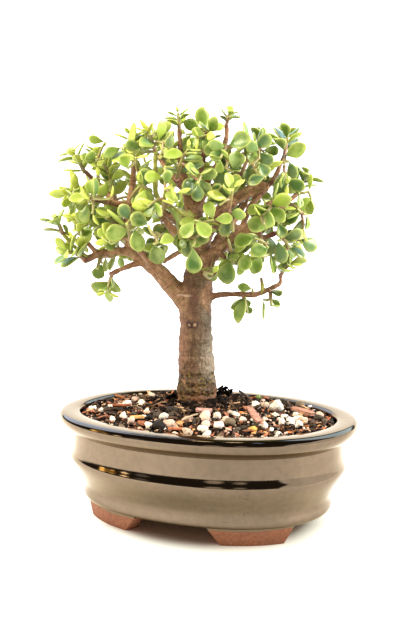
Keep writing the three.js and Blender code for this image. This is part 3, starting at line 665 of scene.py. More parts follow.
def stem_material():
    """Young stems: green at the tip, then wine red, then brown towards the wood."""
    s = Shader("jade_stem")
    grain = s.noise(900.0, 4.0, s.stretched(s.place, (1.0, 1.0, 0.4)))
    tone = s.ramp(s.attribute("stem_age"), [
        (0.0, (0.34, 0.40, 0.07)), (0.3, (0.26, 0.25, 0.06)), (0.6, (0.20, 0.085, 0.04)),
        (0.85, (0.12, 0.05, 0.03)), (1.0, (0.11, 0.06, 0.035)),
    ])
    tone = s.mix(s.times(grain, 0.35), tone, (0.30, 0.2, 0.11))
    return s.finish(s.principled(Base_Color=tone, Roughness=0.5, Normal=s.bump(grain, 0.4, 0.0003)))


def soil_material():
    """Dark damp mix of peat and fine bark."""
    s = Shader("potting_mix")
    grain = s.noise(800.0, 6.0)
    tone = s.ramp(grain, [
        (0.3, (0.003, 0.002, 0.0012)), (0.55, (0.008, 0.0045, 0.0025)),
        (0.72, (0.026, 0.014, 0.007)), (0.86, (0.10, 0.052, 0.026)),
    ])
    normal = s.bump(s.cells(520.0), 0.8, 0.0012)
    normal = s.bump(grain, 0.7, 0.0006, normal)
    return s.finish(s.principled(Base_Color=tone, Roughness=0.9, Normal=normal, Specular_IOR_Level=0.0))


def grit_material(name, grain_scale, strength, roughness):
    """Loose pieces, each with its own tint, darkened in the pits."""
    s = Shader(name)
    grain = s.noise(grain_scale, 5.0)
    pits = s.ramp(s.cells(grain_scale * 1.4), [(0.0, 0.0), (0.35, 1.0)])
    shade = s.ramp(grain, [(0.28, 0.35), (0.5, 0.85), (0.8, 1.1)])
    shade = s.times(shade, s.ramp(pits, [(0.0, 0.6), (1.0, 1.0)]))
    tone = s.mix(1.0, s.attribute("tint", "Color"), shade, "MULTIPLY")
    normal = s.bump(pits, strength * 0.6, 0.0003)
    normal = s.bump(grain, strength, 0.0005, normal)
    return s.finish(s.principled(Base_Color=tone, Roughness=roughness, Normal=normal,
                                 Specular_IOR_Level=0.05))


def screen_material():
    """Dark plastic mesh, a little dusty."""
    s = Shader("drain_screen_plastic")
    grain = s.noise(300.0, 3.0)
    tone = s.ramp(grain, [(0.3, (0.012, 0.013, 0.012)), (0.7, (0.035, 0.036, 0.034))])
    return s.finish(s.principled(Base_Color=tone, Roughness=0.55, Normal=s.bump(grain, 0.2, 0.0002)))


# Pot

def oval_point(radius, angle, height):
    """A point on the oval that passes the long axis at the given radius."""
    difference = LIP_HALF_LENGTH - LIP_HALF_WIDTH
    core = (CORE_RADIUS - difference) / CORE_RADIUS
    short = radius - difference if radius > CORE_RADIUS else radius * core
    cos, sin = math.cos(angle), math.sin(angle)
    x = radius * math.copysign(abs(cos) ** (2 / OVAL_POWER), cos)
    y = short * math.copysign(abs(sin) ** (2 / OVAL_POWER), sin)
    return (x, y, height)


def oval_lathe(profile, segments):
    """Vertices and faces of a closed body whose profile starts and ends on the axis."""
    vertices = [(0.0, 0.0, profile[0][1])]
    for radius, height in profile[1:-1]:
        vertices += [oval_point(radius, 2 * math.pi * k / segments, height) for k in range(segments)]
    vertices.append((0.0, 0.0, profile[-1][1]))
    return vertices, ring_faces(len(profile) - 2, segments, 1, 0, len(vertices) - 1)


def smooth_run(points, steps):
    return [tuple(catmull_rom(points, step / steps)) for step in range(steps + 1)]


def pot_profile():
    """Radius and height from the underside's middle, up the outside and down to the floor's middle."""
    insets = smooth_run(WALL_OUTSIDE, 58) + smooth_run(LIP_OUTSIDE, 34) + smooth_run(WALL_INSIDE, 36)
    wall = [(LIP_HALF_LENGTH - inset, height) for inset, height in insets]
    return [(0.0, BASE_HEIGHT), (LIP_HALF_LENGTH - UNDERSIDE_INSET, BASE_HEIGHT),
            *wall, (40.0, FLOOR_HEIGHT), (0.0, FLOOR_HEIGHT)]


def foot_block(mirror_x, mirror_y):
    """One foot, bent round the oval, with softened edges."""
    foot = bmesh.new()
    bmesh.ops.create_cube(foot, size=1.0)
    bmesh.ops.subdivide_edges(foot, edges=foot.edges[:], cuts=11, use_grid_fill=True)
    for vertex in foot.verts:
        along, outward, up = vertex.co.x, vertex.co.y, vertex.co.z + 0.5
        half_span = FOOT_BOTTOM_HALF_SPAN + (FOOT_TOP_HALF_SPAN - FOOT_BOTTOM_HALF_SPAN) * up
        corner = max(0.0, abs(along) * 2 - 0.9) * 8 * max(0.0, abs(outward) * 2 - 0.6)
        half_span -= corner * 1.2
        angle = math.radians(FOOT_MIDDLE_ANGLE - along * 2 * half_span)
        taper = FOOT_TAPER * (1 - up)
        radius = LIP_HALF_LENGTH - FOOT_OUTER_INSET - taper + (outward - 0.5) * (FOOT_THICKNESS - 2 * taper)
        x, y, _ = oval_point(radius, angle, 0.0)
        vertex.co = Vector((x * mirror_x, y * mirror_y, up * (BASE_HEIGHT + FOOT_SUNK)))
    if mirror_x * mirror_y < 0:
        bmesh.ops.reverse_faces(foot, faces=foot.faces[:])
    bmesh.ops.scale(foot, vec=(MM, MM, MM), verts=foot.verts[:])
    return object_from("foot", foot)


def drain_drill(x):
    drill = bmesh.new()
    bmesh.ops.create_cone(drill, cap_ends=True, segments=48, radius1=DRAIN_RADIUS * MM,
                          radius2=DRAIN_RADIUS * MM, depth=0.05,
                          matrix=Matrix.Translation((x * MM, 0, FLOOR_HEIGHT * MM)))
    return object_from("drill", drill)


def combine(piece, other, operation):
    """Joins the other solid to the piece or cuts it away."""
    bpy.context.scene.collection.objects.link(other)
    boolean = piece.modifiers.new("boolean", "BOOLEAN")
    boolean.operation = operation
    boolean.object = other
    boolean.solver = "EXACT"
    apply_modifiers(piece)
    bpy.data.objects.remove(other)


def make_pot():
    vertices, faces = oval_lathe(pot_profile(), POT_SEGMENTS)
    pot = new_object("glazed_pot", vertices, faces, [glaze_material()])
    for mirror_x, mirror_y in ((1, 1), (-1, 1), (-1, -1), (1, -1)):
        combine(pot, foot_block(mirror_x, mirror_y), "UNION")
    for side in (-1, 1):
        combine(pot, drain_drill(side * DRAIN_SPACING / 2), "DIFFERENCE")
    pot.data.shade_smooth()
    pot.data.set_sharp_from_angle(angle=math.radians(40))
    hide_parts("pot")
    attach(pot, "root")
# Wood

def limb_path(points):
    """Places, directions and radii along a limb, about a millimetre apart."""
    rows = [(*in_plant(point), point[3]) for point in points]
    rough = sum((Vector(b[:3]) - Vector(a[:3])).length for a, b in zip(rows, rows[1:]))
    steps = max(4, int(rough))
    samples = [catmull_rom(rows, k / steps) for k in range(steps + 1)]
    places = [Vector(sample[:3]) for sample in samples]
    return places, ways_along(places), [float(sample[3]) for sample in samples]


def side_frames(ways):
    """Sideways axes that don't twist along the path."""
    side = ways[0].orthogonal().normalized()
    sides = []
    for way in ways:
        side = (side - way * side.dot(way)).normalized()
        sides.append((side, way.cross(side)))
    return sides


def tube(places, ways, radii, around):
    """Vertices and faces of a closed tube with slightly domed ends."""
    vertices = []
    for place, radius, (side, other) in zip(places, radii, side_frames(ways)):
        for k in range(around):
            angle = 2 * math.pi * k / around
            vertices.append(place + side * (radius * math.cos(angle)) + other * (radius * math.sin(angle)))
    vertices.append(places[0] - ways[0] * radii[0] * 0.25)
    vertices.append(places[-1] + ways[-1] * radii[-1] * 0.25)
    count = len(vertices)
    return vertices, ring_faces(len(places), around, 0, count - 2, count - 1)


# The wood's mesh is remade in cells of this size, in metres
WOOD_VOXEL = 0.00072

# Bark relief in millimetres: the radius from which it is full, and the crusted foot's top and fade
FULL_RELIEF_RADIUS = 9.0
CRUST_TOP = 94.0
CRUST_FADE = 8.0

GREEN_LIMBS = ("inner_riser", "left_twig", "right_branch_stub")

# Limbs that end in the open, with how wine red their end is and how pink their cut
CUT_LIMBS = {
    "left_low": 0.9, "left_under": 0.7, "left_stub": 1.0, "left_upright": 0.6, "inner_stub": 1.0,
    "right_low": 0.4, "right_red_twig": 0.9, "right_dark_twig": 0.5, "right_branch_stub": 0.8,
    "crown_right": 0.6, "crown_middle": 0.7, "left_spur": 0.6, "left_crown": 0.6, "curled_twig": 0.5,
}
WINE_LENGTH = 8.0
WINE_FADE = 6.0

Sample = namedtuple("Sample", "limb centre way side other radius run")


def swollen(name, radii):
    """Knuckles along a limb: uneven growth and old leaf scars."""
    seed = sum(map(ord, name))
    result = []
    for k, radius in enumerate(radii):
        knuckle = 0.07 * math.sin(k * 0.9 + seed) + 0.06 * math.sin(k * 0.37 + seed * 2)
        share = knuckle if radius < 5 else knuckle * 0.35
        result.append(radius * (1 + share))
    return result


def wood_samples(paths):
    """A sample at every step of every limb's centre line."""
    samples = []
    for name, (places, ways, radii) in paths.items():
        run = 0.0
        for k, (side, other) in enumerate(side_frames(ways)):
            run += (places[k] - places[k - 1]).length if k else 0.0
            own_run = run + 37.0 * len(name)
            samples.append(Sample(name, places[k], ways[k], side, other, radii[k], own_run))
    return samples


def nearest_bark(tree, samples, place):
    """The sample whose round surface passes nearest to the place."""
    best, best_score = None, 1e9
    for _, near, distance in tree.find_n(place, 9):
        score = abs(distance - samples[near].radius) + 0.15 * distance
        if score < best_score:
            best, best_score = samples[near], score
    return best


def bark_relief(place, local, radius):
    """How far the bark stands out: furrows, ridges, lumps and rings, and a crust at the foot."""
    rough = min(1.0, radius / FULL_RELIEF_RADIUS)
    furrow = noise.fractal(Vector((local.x * 0.42, local.y * 0.42, local.z * 0.07)), 0.6, 2.1, 4)
    ridge = abs(noise.noise(Vector((local.x * 0.9, local.y * 0.9, local.z * 0.16))))
    lumps = noise.fractal(place * 0.16, 0.7, 2.0, 3)
    rings = math.sin(local.z * 1.3 + 2.5 * noise.noise(place * 0.2)) * 0.05
    shift = (0.26 * furrow - 0.36 * ridge + 0.10) * rough + 0.32 * lumps * (0.6 + 0.4 * rough) + rings
    crust = noise.fractal(place * 0.62, 0.5, 2.2, 4)
    return shift + clamped((CRUST_TOP - place.z) / CRUST_FADE) * (0.75 * crust + 0.25)


def blurred(mesh, values, rounds):
    """A value per vertex, evened out with its neighbours a number of times."""
    edges = np.empty(len(mesh.edges) * 2, np.int32)
    mesh.edges.foreach_get("vertices", edges)
    first, second = edges.reshape(-1, 2).T
    count = len(values)
    links = np.bincount(first, minlength=count) + np.bincount(second, minlength=count)
    for _ in range(rounds):
        total = np.bincount(first, values[second], count) + np.bincount(second, values[first], count)
        values = 0.4 * values + 0.6 * total / np.maximum(links, 1)
    return values


def vertex_values(mesh, key):
    """A row of three numbers for each vertex."""
    values = np.empty(len(mesh.vertices) * 3, np.float32)
    mesh.vertices.foreach_get(key, values)
    return values.reshape(-1, 3)


def dress_wood(wood, paths, samples):
    """Bark relief on the mesh, and the values that the bark's material reads."""
    tree = KDTree(len(samples))
    for index, sample in enumerate(samples):
        tree.insert(sample.centre, index)
    tree.balance()
    places, normals = vertex_values(wood.data, "co") / MM, vertex_values(wood.data, "normal")
    count = len(places)
    bark_place = np.zeros((count, 3))
    bark_radius, bark_cut, bark_green, bark_wine = np.zeros((4, count))
    for index in range(count):
        place = Vector(places[index])
        near = nearest_bark(tree, samples, place)
        outward = place - near.centre
        local = Vector((outward.dot(near.side), outward.dot(near.other), near.run + outward.dot(near.way)))
        bark_place[index] = local * MM
        bark_radius[index] = near.radius * MM
        bark_green[index] = near.limb in GREEN_LIMBS
        if near.limb in CUT_LIMBS:
            limb_places, limb_ways, _ = paths[near.limb]
            beyond = (place - limb_places[-1]).dot(limb_ways[-1])
            facing = Vector(normals[index]).dot(limb_ways[-1])
            bark_wine[index] = 0.9 * CUT_LIMBS[near.limb] * clamped((WINE_LENGTH + beyond) / WINE_FADE)
            if beyond > -0.8 and facing > 0.4:
                bark_cut[index] = CUT_LIMBS[near.limb]
        places[index] += np.array(normals[index]) * bark_relief(place, local, near.radius)
    wood.data.vertices.foreach_set("co", (places * MM).astype(np.float32).ravel())
    set_attribute(wood.data, "bark_place", bark_place, "FLOAT_VECTOR")
    set_attribute(wood.data, "bark_radius", blurred(wood.data, bark_radius, 16))
    set_attribute(wood.data, "bark_cut", bark_cut)
    set_attribute(wood.data, "bark_green", bark_green)
    set_attribute(wood.data, "bark_wine", bark_wine)
    wood.data.update()


def make_wood():
    paths = {name: limb_path(points) for name, points in LIMBS.items()}
    limbs = Parts()
    for name, (places, ways, radii) in paths.items():
        limbs.add_part(*tube(places, ways, swollen(name, radii), 20 if name == "trunk" else 12))
    wood = new_object("old_wood", limbs.vertices, limbs.faces, [bark_material()])
    remesh = wood.modifiers.new("remesh", "REMESH")
    remesh.mode = "VOXEL"
    remesh.voxel_size = WOOD_VOXEL
    soften = wood.modifiers.new("soften", "SMOOTH")
    soften.factor = 0.5
    soften.iterations = 3
    apply_modifiers(wood)
    dress_wood(wood, paths, wood_samples(paths))
    wood.data.shade_smooth()
    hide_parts("trunk")
    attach(wood, "root")
    return wood
# Leaves and young stems

LEAF_RINGS = 9
LEAF_AROUND = 12
STEM_AROUND = 8
RINGS_BETWEEN_NODES = 4

# The canopy is a dome of leafy twigs: its middle and reach in the plant frame, and shells of twig ends,
# with their size and number. One shell has twigs only at the back.
CANOPY_CENTRE = (-8.0, -3.0, 203.0)
CANOPY_REACH = (80.0, 49.0, 57.0)
SHELLS = ((0.72, 60), (0.86, 90), (1.0, 140))
BACK_SHELL = 0.86
BACK_SHELL_START = 6.0
GOLDEN_ANGLE = 2.399963
TWIG_JITTER = 3.0
NEAREST_TWIG = 4.5
LONGEST_TWIG = 26.0
WIDEST_CLUSTER = 27.0

# Left and right of these places the canopy is more open, by this share of its twigs
OPEN_SIDES = (-50, 20)
OPEN_SHARE = 0.30

# No leaves below these heights, each up to a place across
CANOPY_BOTTOM = ((-50, 170), (-14, 184), (12, 190), (math.inf, 172))

# Gaps in the front of the canopy: across, height and reach
OPEN_WINDOWS = ((30, 215, 12), (-4, 210, 7), (-30, 178, 9))

# Above this height, the leaves right of a place are darker, painted shade, and the others paler, painted
# light
UPPER_CANOPY = 214
SHADE_FROM = -2

# Bare wood that the photograph shows between the leaves: across, height and reach. Only leaves further
# behind the trunk than the depth may stand there.
BARE_WOOD = (
    (-74, 171.5, 4.5), (-66, 175, 4.5), (-57, 177, 4.5), (-48, 177, 4.5), (-58, 162.5, 4), (-50, 165.5, 4),
    (-44.5, 234, 4.5), (-45, 222, 4), (-46.5, 206, 4.5), (-47, 198, 4), (-68, 213, 4.5), (-60, 211, 4),
    (-53, 209.5, 4), (-77, 231, 4.5), (-73, 227, 4), (-28, 240, 4), (-28, 232, 4), (-27.5, 224, 4),
    (-27, 216, 4), (-14, 225.5, 4.5), (-13, 259, 4.5), (-12.5, 250, 4), (-12, 243, 4), (-1, 212, 5),
    (-1, 204, 5), (9, 177, 5), (14, 176, 5), (19, 183, 5), (26, 188, 4), (14, 204, 5), (22, 211, 5),
    (31, 217, 5), (44, 214, 4), (44, 188, 4), (51, 190, 4), (20, 262, 4.5), (19, 255, 4),
    (4, 243, 4), (3, 237, 4), (59, 243, 4), (66, 216, 4),
)
BARE_WOOD_DEPTH = 8

# Leaves that stand out in the photograph, as seen against the trunk's plane: across and height of the
# middle, length, breadth, heading in degrees up from the right, and age
SHOWN_LEAVES = (
    (-34, 243, 14, 9, 172, 0.25), (-18, 243, 13, 9, 8, 0.25), (-30, 228, 12, 9, 178, 0.20),
    (-15, 213, 16, 11, -80, 0.80), (-26, 195, 12, 11, 95, 0.40), (-34, 189, 11, 10, 160, 0.12),
    (-22, 185, 10, 9, 20, 0.12), (-54, 191, 15, 12, 195, 0.55), (-40, 199, 12, 10, 150, 0.72),
    (-50, 204, 11, 9, 120, 0.90), (-42, 185, 15, 10, -75, 0.60), (-28, 176, 13, 11, -70, 0.78),
    (-83, 184, 11, 10, 200, 0.60), (-88, 173, 11, 7, -110, 0.85), (-77, 204, 13, 8, -105, 0.72),
    (-55, 157, 9, 8, -80, 0.45), (-68, 164, 11, 9, -110, 0.40), (-77, 168, 10, 9, -120, 0.50),
    (-59, 245, 13, 8, 205, 0.45), (-44, 249, 11, 8, 170, 0.60), (-69, 253, 11, 5, 165, 0.20),
    (-50, 238, 9, 8, 110, 0.30), (-20, 253, 10, 7, -110, 0.85), (25, 239, 13, 12, 80, 0.60),
    (35, 231, 11, 9, -80, 0.75), (47, 222, 12, 9, -70, 0.60), (40, 227, 11, 8, 200, 0.85),
    (44, 234, 10, 8, -60, 0.97), (0, 218, 11, 9, -85, 0.93),
    (-5, 232, 11, 7, 150, 0.25), (8, 228, 12, 7, -10, 0.40), (41, 196, 13, 11, 160, 0.50),
    (32, 185, 13, 11, 200, 0.50), (42, 178, 13, 11, -160, 0.62), (57, 178, 15, 9, -75, 0.85),
    (33, 171, 12, 9, -110, 0.50), (43, 168, 13, 9, -100, 0.55), (21, 164, 16, 13, -100, 0.62),
    (-3, 172, 17, 11, -88, 0.72), (-7, 195, 13, 9, -125, 0.33), (3, 195, 13, 10, -55, 0.30),
    (17, 200, 12, 7, 5, 0.30), (9, 208, 12, 8, 110, 0.30), (33, 137, 18, 10, -92, 0.50),
    (3, 162, 6, 4, 160, 0.0), (8, 163, 6, 4, 20, 0.0),
    (5, 160, 6, 4, -90, 0.0), (12, 165, 6, 4, 60, 0.05),
    (46, 138, 13, 5, -88, 0.35), (33, 153, 10, 6, 170, 0.45), (49, 151, 8, 7, 20, 0.50),
    (64, 234, 12, 7, -70, 0.93), (69, 213, 10, 5, -90, 0.60), (77, 225, 11, 4, 80, 0.25),
    (80, 217, 10, 4, -35, 0.22), (77, 209, 10, 4, -95, 0.25), (73, 199, 10, 5, -110, 0.40),
    (57, 193, 10, 8, -70, 0.78), (51, 170, 14, 7, -85, 0.45), (-93, 189, 8, 4, 175, 0.10),
    (-90, 194, 7, 3, 110, 0.10),
)

# How a shown leaf is turned until it is clear: degrees round the line of sight, and lean to the camera
SHOWN_LEAF_TURNS = (
    (0, 0), (10, 0), (-10, 0), (0, 0.3), (20, 0.2), (-20, 0.2), (0, 0.6), (28, 0.5), (-28, 0.5),
)


def leaf_outline(t, widest, pointed):
    """Half breadth of a spoon-shaped leaf, as a share of its greatest, t along its length."""
    skew = math.log(0.5) / math.log(widest)
    return math.sin(math.pi * min(1.0, t ** skew)) ** (0.80 - 0.26 * t + 0.42 * pointed)


def leaf_mesh(length, breadth, thickness, widest, arch, cup, twist, pointed=0.0):
    """A plump leaf along +X from its foot, face towards +Z, and how near each point is to the margin."""
    vertices, margins = [Vector((0, 0, 0))], [0.0]
    for ring in range(LEAF_RINGS):
        t = ((ring + 0.45) / (LEAF_RINGS - 0.2)) ** 0.85
        half_width = breadth / 2 * leaf_outline(t, widest, pointed)
        plump = 0.4 + 0.6 * math.sin(math.pi * min(1.0, t * 0.9 + 0.08)) ** 0.6
        half_height = min(thickness / 2 * plump, half_width * 0.8)
        for k in range(LEAF_AROUND):
            angle = 2 * math.pi * k / LEAF_AROUND
            across = math.cos(angle)
            up = math.sin(angle)
            lift = arch * length * (t * t - 0.15 * t) + cup * across * across * half_width
            lift += twist * across * half_width * t
            vertices.append(Vector((t * length, across * half_width, up * half_height + lift)))
            margins.append(max(abs(across) ** 6, max(0.0, t - 0.8) * 4))
    vertices.append(Vector((length, 0, arch * length * 0.85)))
    margins.append(1.0)
    return vertices, ring_faces(LEAF_RINGS, LEAF_AROUND, 1, 0, len(vertices) - 1), margins


def turned(vertices, foot, direction, face):
    """The vertices moved so that +X runs along the direction and +Z looks towards the face."""
    side = face.cross(direction).normalized()
    normal = direction.cross(side)
    return [foot + direction * v.x + side * v.y + normal * v.z for v in vertices]


class Canopy:
    """Everything grown so far, so that a new leaf can be turned clear of it."""

    cell = 14.0

    def __init__(self, wood):
        mesh = wood.data
        vertices = [vertex.co / MM for vertex in mesh.vertices]
        self.wood = BVHTree.FromPolygons(vertices, [tuple(p.vertices) for p in mesh.polygons])
        self.grown = {}
        self.shown = []

    def neighbours(self, centre):
        column, row, layer = (int(part // self.cell) for part in centre)
        for i in (column - 1, column, column + 1):
            for j in (row - 1, row, row + 1):
                for k in (layer - 1, layer, layer + 1):
                    yield from self.grown.get((i, j, k), ())

    def clear_tree(self, vertices, faces, centre, reach, own_axis):
        """The new leaf's search tree if it meets nothing but its own stem, else None."""
        tree = BVHTree.FromPolygons(vertices, faces)
        if self.wood.overlap(tree):
            return None
        for other_centre, other_reach, other, axis in self.neighbours(centre):
            near = (other_centre - centre).length < reach + other_reach
            if near and axis != own_axis and other.overlap(tree):
                return None
        return tree

    def keep(self, tree, centre, reach, axis=None):
        key = tuple(int(part // self.cell) for part in centre)
        self.grown.setdefault(key, []).append((centre, reach, tree, axis))


class ShootMesh(Parts):
    """Collects one shoot's stems and leaves with what their materials need."""

    def __init__(self):
        super().__init__()
        self.face_slots = []
        self.values = {"leaf_age": [], "leaf_chance": [], "leaf_margin": [], "stem_age": []}

    def add(self, vertices, faces, slot, **values):
        self.add_part(vertices, faces)
        self.face_slots += [slot] * len(faces)
        for key, stored in self.values.items():
            value = values.get(key, 0.0)
            stored += value if isinstance(value, list) else [value] * len(vertices)


def stem_path(points):
    samples = RINGS_BETWEEN_NODES * (len(points) - 1) + 1
    places = [Vector(catmull_rom([tuple(p) for p in points], k / (samples - 1))) for k in range(samples)]
    return places, ways_along(places)


def grow_stem(shoot, canopy, places, ways, radii, oldest, axis):
    """A young stem with a swelling at each node."""
    last = len(places) - 1
    thickness = []
    for k in range(len(places)):
        swelling = 0.16 if k % RINGS_BETWEEN_NODES == 0 else 0.0
        thickness.append((radii[0] + (radii[1] - radii[0]) * k / last) * (1 + swelling))
    vertices, faces = tube(places, ways, thickness, STEM_AROUND)
    middle = places[last // 2]
    reach = (places[-1] - places[0]).length / 2 + 1.5
    canopy.keep(BVHTree.FromPolygons(vertices, faces), middle, reach, axis)
    ages = [oldest * (1 - 0.75 * (index // STEM_AROUND) / last) for index in range(STEM_AROUND * (last + 1))]
    shoot.add(vertices, faces, 1, stem_age=ages + [oldest, oldest * 0.25])


def grow_leaf(shoot, canopy, foot, way, around, length, age, draw, axis):
    """One leaf from its node, turned a little at a time until it is clear. Young ones are narrower."""
    level = way.cross(Vector((0, 0, 1)))
    level = level.normalized() if level.length > 0.2 else way.orthogonal().normalized()
    young = max(0.0, 1 - age / 0.4)
    breadth = length * draw.uniform(0.56, 0.78) * (1 - 0.34 * young)
    thickness = length * draw.uniform(0.10, 0.14) + 0.35
    shape = (thickness, draw.uniform(0.58, 0.68) - 0.1 * young, draw.uniform(-0.26, 0.14),
             draw.uniform(0.0, 0.5), draw.uniform(-0.25, 0.25), young * draw.uniform(0.5, 1.0))
    lean = draw.uniform(0.3, 0.85)
    face = (way + Vector((0, 0, 0.45))).normalized()
    chance = draw.random()
    for attempt, turn in enumerate((0, 22, -22, 44, -44, 66, -66)):
        shrink = 1.0 if attempt < 3 else 0.82
        out = Matrix.Rotation(math.radians(around + turn), 3, way) @ level
        direction = (out + way * (lean + 0.14 * attempt)).normalized()
        front = way if abs(face.dot(direction)) > 0.93 else face
        local, faces, margins = leaf_mesh(length * shrink, breadth * shrink, *shape)
        start = foot + direction * 0.5
        centre = start + direction * (length * 0.5)
        if hides_wood(centre, length) or hides_shown_leaf(centre, length, canopy.shown):
            continue
        vertices = turned(local, start, direction, front)
        tree = canopy.clear_tree(vertices, faces, centre, length * 0.6, axis)
        if tree:
            canopy.keep(tree, centre, length * 0.6)
            shoot.add(vertices, faces, 0, leaf_age=age, leaf_chance=chance, leaf_margin=margins)
            return


def grow_leaves(shoot, canopy, places, ways, nodes, longest, youth, draw, axis):
    """Opposite pairs of leaves, each pair a quarter turn from the last, and a smaller pair at the tip."""
    start_turn = draw.uniform(0, 90)
    last = len(places) - 1
    for pair in range(nodes + 1):
        run = (pair + 0.8) / (nodes + 0.8)
        at = min(last, int(round(run * last)))
        for half in (0, 1):
            size = longest * (1.0 - 0.28 * run) * draw.uniform(0.84, 1.14)
            # Leaves deep in the dome are older and darker, partly painted shade.
            inner = max(0.0, 0.95 - dome_share(places[at]))
            age = 1.0 - youth - 0.4 * run + draw.uniform(-0.3, 0.38) + 0.9 * inner
            if pair == nodes:
                size, age = longest * draw.uniform(0.42, 0.62), age - 0.2
            around = start_turn + 90 * pair + 180 * half + draw.uniform(-20, 20)
            grow_leaf(shoot, canopy, places[at], ways[at], around, size, clamped(age), draw, axis)


def dome_share(point):
    """How far out a point lies, from 0 in the middle of the dome to 1 on its surface."""
    across, height, away = seen_at(point)
    shares = [(part - middle) / reach
              for part, middle, reach in zip((across, away, height), CANOPY_CENTRE, CANOPY_REACH)]
    return math.hypot(*shares)


def youth_and_light_at(point, draw):
    """How young and pale the leaves are: more so at the top and the left, partly painted light; painted
    shade at the upper right.
    """
    height, left = (point.z - 150) / 120, -point.x / 90
    across, seen_height, _ = seen_at(point)
    shaded = 0.0
    if seen_height > UPPER_CANOPY:
        shaded = 0.16 if across > SHADE_FROM else -0.12
    return max(0.05, min(0.95, 0.27 + 0.32 * height + 0.20 * left - shaded + draw.uniform(-0.18, 0.18)))


def dome_targets():
    """Where the dome's twigs end, from the inner shell outwards, in the row frame."""
    targets = []
    for size, count in SHELLS:
        for k in range(count):
            up = 1 - 2 * (k + 0.5) / count
            turn = k * GOLDEN_ANGLE + size * 7
            ring = math.sqrt(1 - up * up)
            way = (ring * math.cos(turn), ring * math.sin(turn), up)
            jitter = [TWIG_JITTER * (vary(k, size * 10 + axis) - 0.5) for axis in range(3)]
            point = [CANOPY_CENTRE[i] + CANOPY_REACH[i] * size * way[i] + jitter[i] for i in range(3)]
            if size == BACK_SHELL and point[1] < CANOPY_CENTRE[1] + BACK_SHELL_START:
                continue
            open_side = not OPEN_SIDES[0] <= point[0] <= OPEN_SIDES[1]
            if leafy_place(*point) and not (open_side and vary(k, size * 5 + 3) < OPEN_SHARE):
                targets.append(in_plant(point))
    return targets


def leafy_place(across, away, height):
    """Whether leaves grow there: the dome is open below, and in front of some of the wood."""
    lowest = next(bottom for edge, bottom in CANOPY_BOTTOM if across < edge)
    if height < lowest:
        return False
    if away > 0:
        return True
    return all(math.hypot(across - x, height - z) > reach for x, z, reach in OPEN_WINDOWS)


def hides_wood(centre, length):
    """Whether a leaf there would cover wood that has to show."""
    across, height, away = seen_at(centre)
    if away > BARE_WOOD_DEPTH:
        return False
    return any(math.hypot(across - w, height - h) < reach + 0.22 * length for w, h, reach in BARE_WOOD)


def front_of_dome(across, height):
    """How far behind the trunk the front of the canopy lies, which is in front of it, so below zero."""
    beside = (across - CANOPY_CENTRE[0]) / CANOPY_REACH[0]
    above = (height - CANOPY_CENTRE[2]) / CANOPY_REACH[2]
    room = 1 - beside ** 2 - above ** 2
    return CANOPY_CENTRE[1] - 10 - (CANOPY_REACH[1] - 12) * math.sqrt(max(0.0, room))


def hides_shown_leaf(centre, length, shown):
    """Whether a leaf there would cover one of the leaves that stand out."""
    across, height, away = seen_at(centre)
    return any(away < far + 2 and math.hypot(across - x, height - z) < 0.42 * size + 0.3 * length
               for x, z, far, size in shown)


def nearest_foot(across, height, length, direction, stems):
    """The distance, number and step of the stem nearest a shown leaf's foot, and the foot at that depth."""
    choices = []
    for deeper in (0, 5, 10, 15, 20):
        middle = along_sight(in_plant((across, 0, height)), front_of_dome(across, height) + deeper)
        foot = middle - direction * length * 0.5
        choices.append((*nearest_stem(foot, stems), foot, deeper))
    return min(choices, key=lambda choice: max(9.0, choice[0]) + 0.2 * choice[-1])[:4]


def plan_shown_leaves(stems, canopy):
    """A short twig to the foot of each leaf that stands out, from the nearest stem or limb."""
    planned = []
    for across, height, length, breadth, heading, age in SHOWN_LEAVES:
        turn = math.radians(heading)
        direction = view_way(math.cos(turn), -0.12, math.sin(turn)).normalized()
        distance, stem, step, foot = nearest_foot(across, height, length, direction, stems)
        places, ways, owner = stems[stem][:3]
        base, base_way = places[step], ways[step]
        on_wood, normal, _, wood_distance = canopy.wood.find_nearest(foot)
        if wood_distance < distance - 3:
            base, base_way, distance = on_wood - normal * 0.4, normal, wood_distance
        axis = len(stems)
        if distance > 2.5:
            stems.append((*twig_path(base, base_way, foot, 0.12), owner, None, 0.0, 0.8))
        else:
            axis, foot = stem, base
        planned.append((owner, foot, direction, length, breadth, age, axis))
    return planned


def grow_shown_leaves(shoots, canopy, planned):
    """The leaves that stand out, facing the camera's side or turned edge on where they look narrow."""
    draw = random.Random(17)
    shown = []
    for owner, foot, direction, length, breadth, age, axis in planned:
        fullest = max(breadth, length * 0.62)
        lay = math.acos(min(1.0, breadth / fullest)) * draw.choice((1, -1)) + draw.uniform(-0.4, 0.4)
        shape = (length * 0.13 + 0.35, draw.uniform(0.56, 0.66), draw.uniform(-0.24, 0.10),
                 draw.uniform(0.1, 0.6), draw.uniform(-0.2, 0.2))
        local, faces, margins = leaf_mesh(length, fullest, *shape)
        age = min(1.0, age + 0.14)
        for turn, lean in SHOWN_LEAF_TURNS:
            heading = Matrix.Rotation(math.radians(turn), 3, INTO_PICTURE) @ direction
            heading = (heading - INTO_PICTURE * lean).normalized()
            face = Matrix.Rotation(lay, 3, heading) @ (view_way(0.0, -1.0, 0.3) + heading * 0.2)
            vertices = turned(local, foot + heading * 0.4, heading, face.normalized())
            centre = foot + heading * (length * 0.5)
            tree = canopy.clear_tree(vertices, faces, centre, length * 0.6, axis)
            if tree:
                canopy.keep(tree, centre, length * 0.6)
                chance = draw.uniform(0.15, 0.85) if age < 0.95 else 0.95
                shoots[owner].add(vertices, faces, 0, leaf_age=age, leaf_chance=chance, leaf_margin=margins)
                shown.append((*seen_at(centre), length))
                break
    canopy.shown = shown


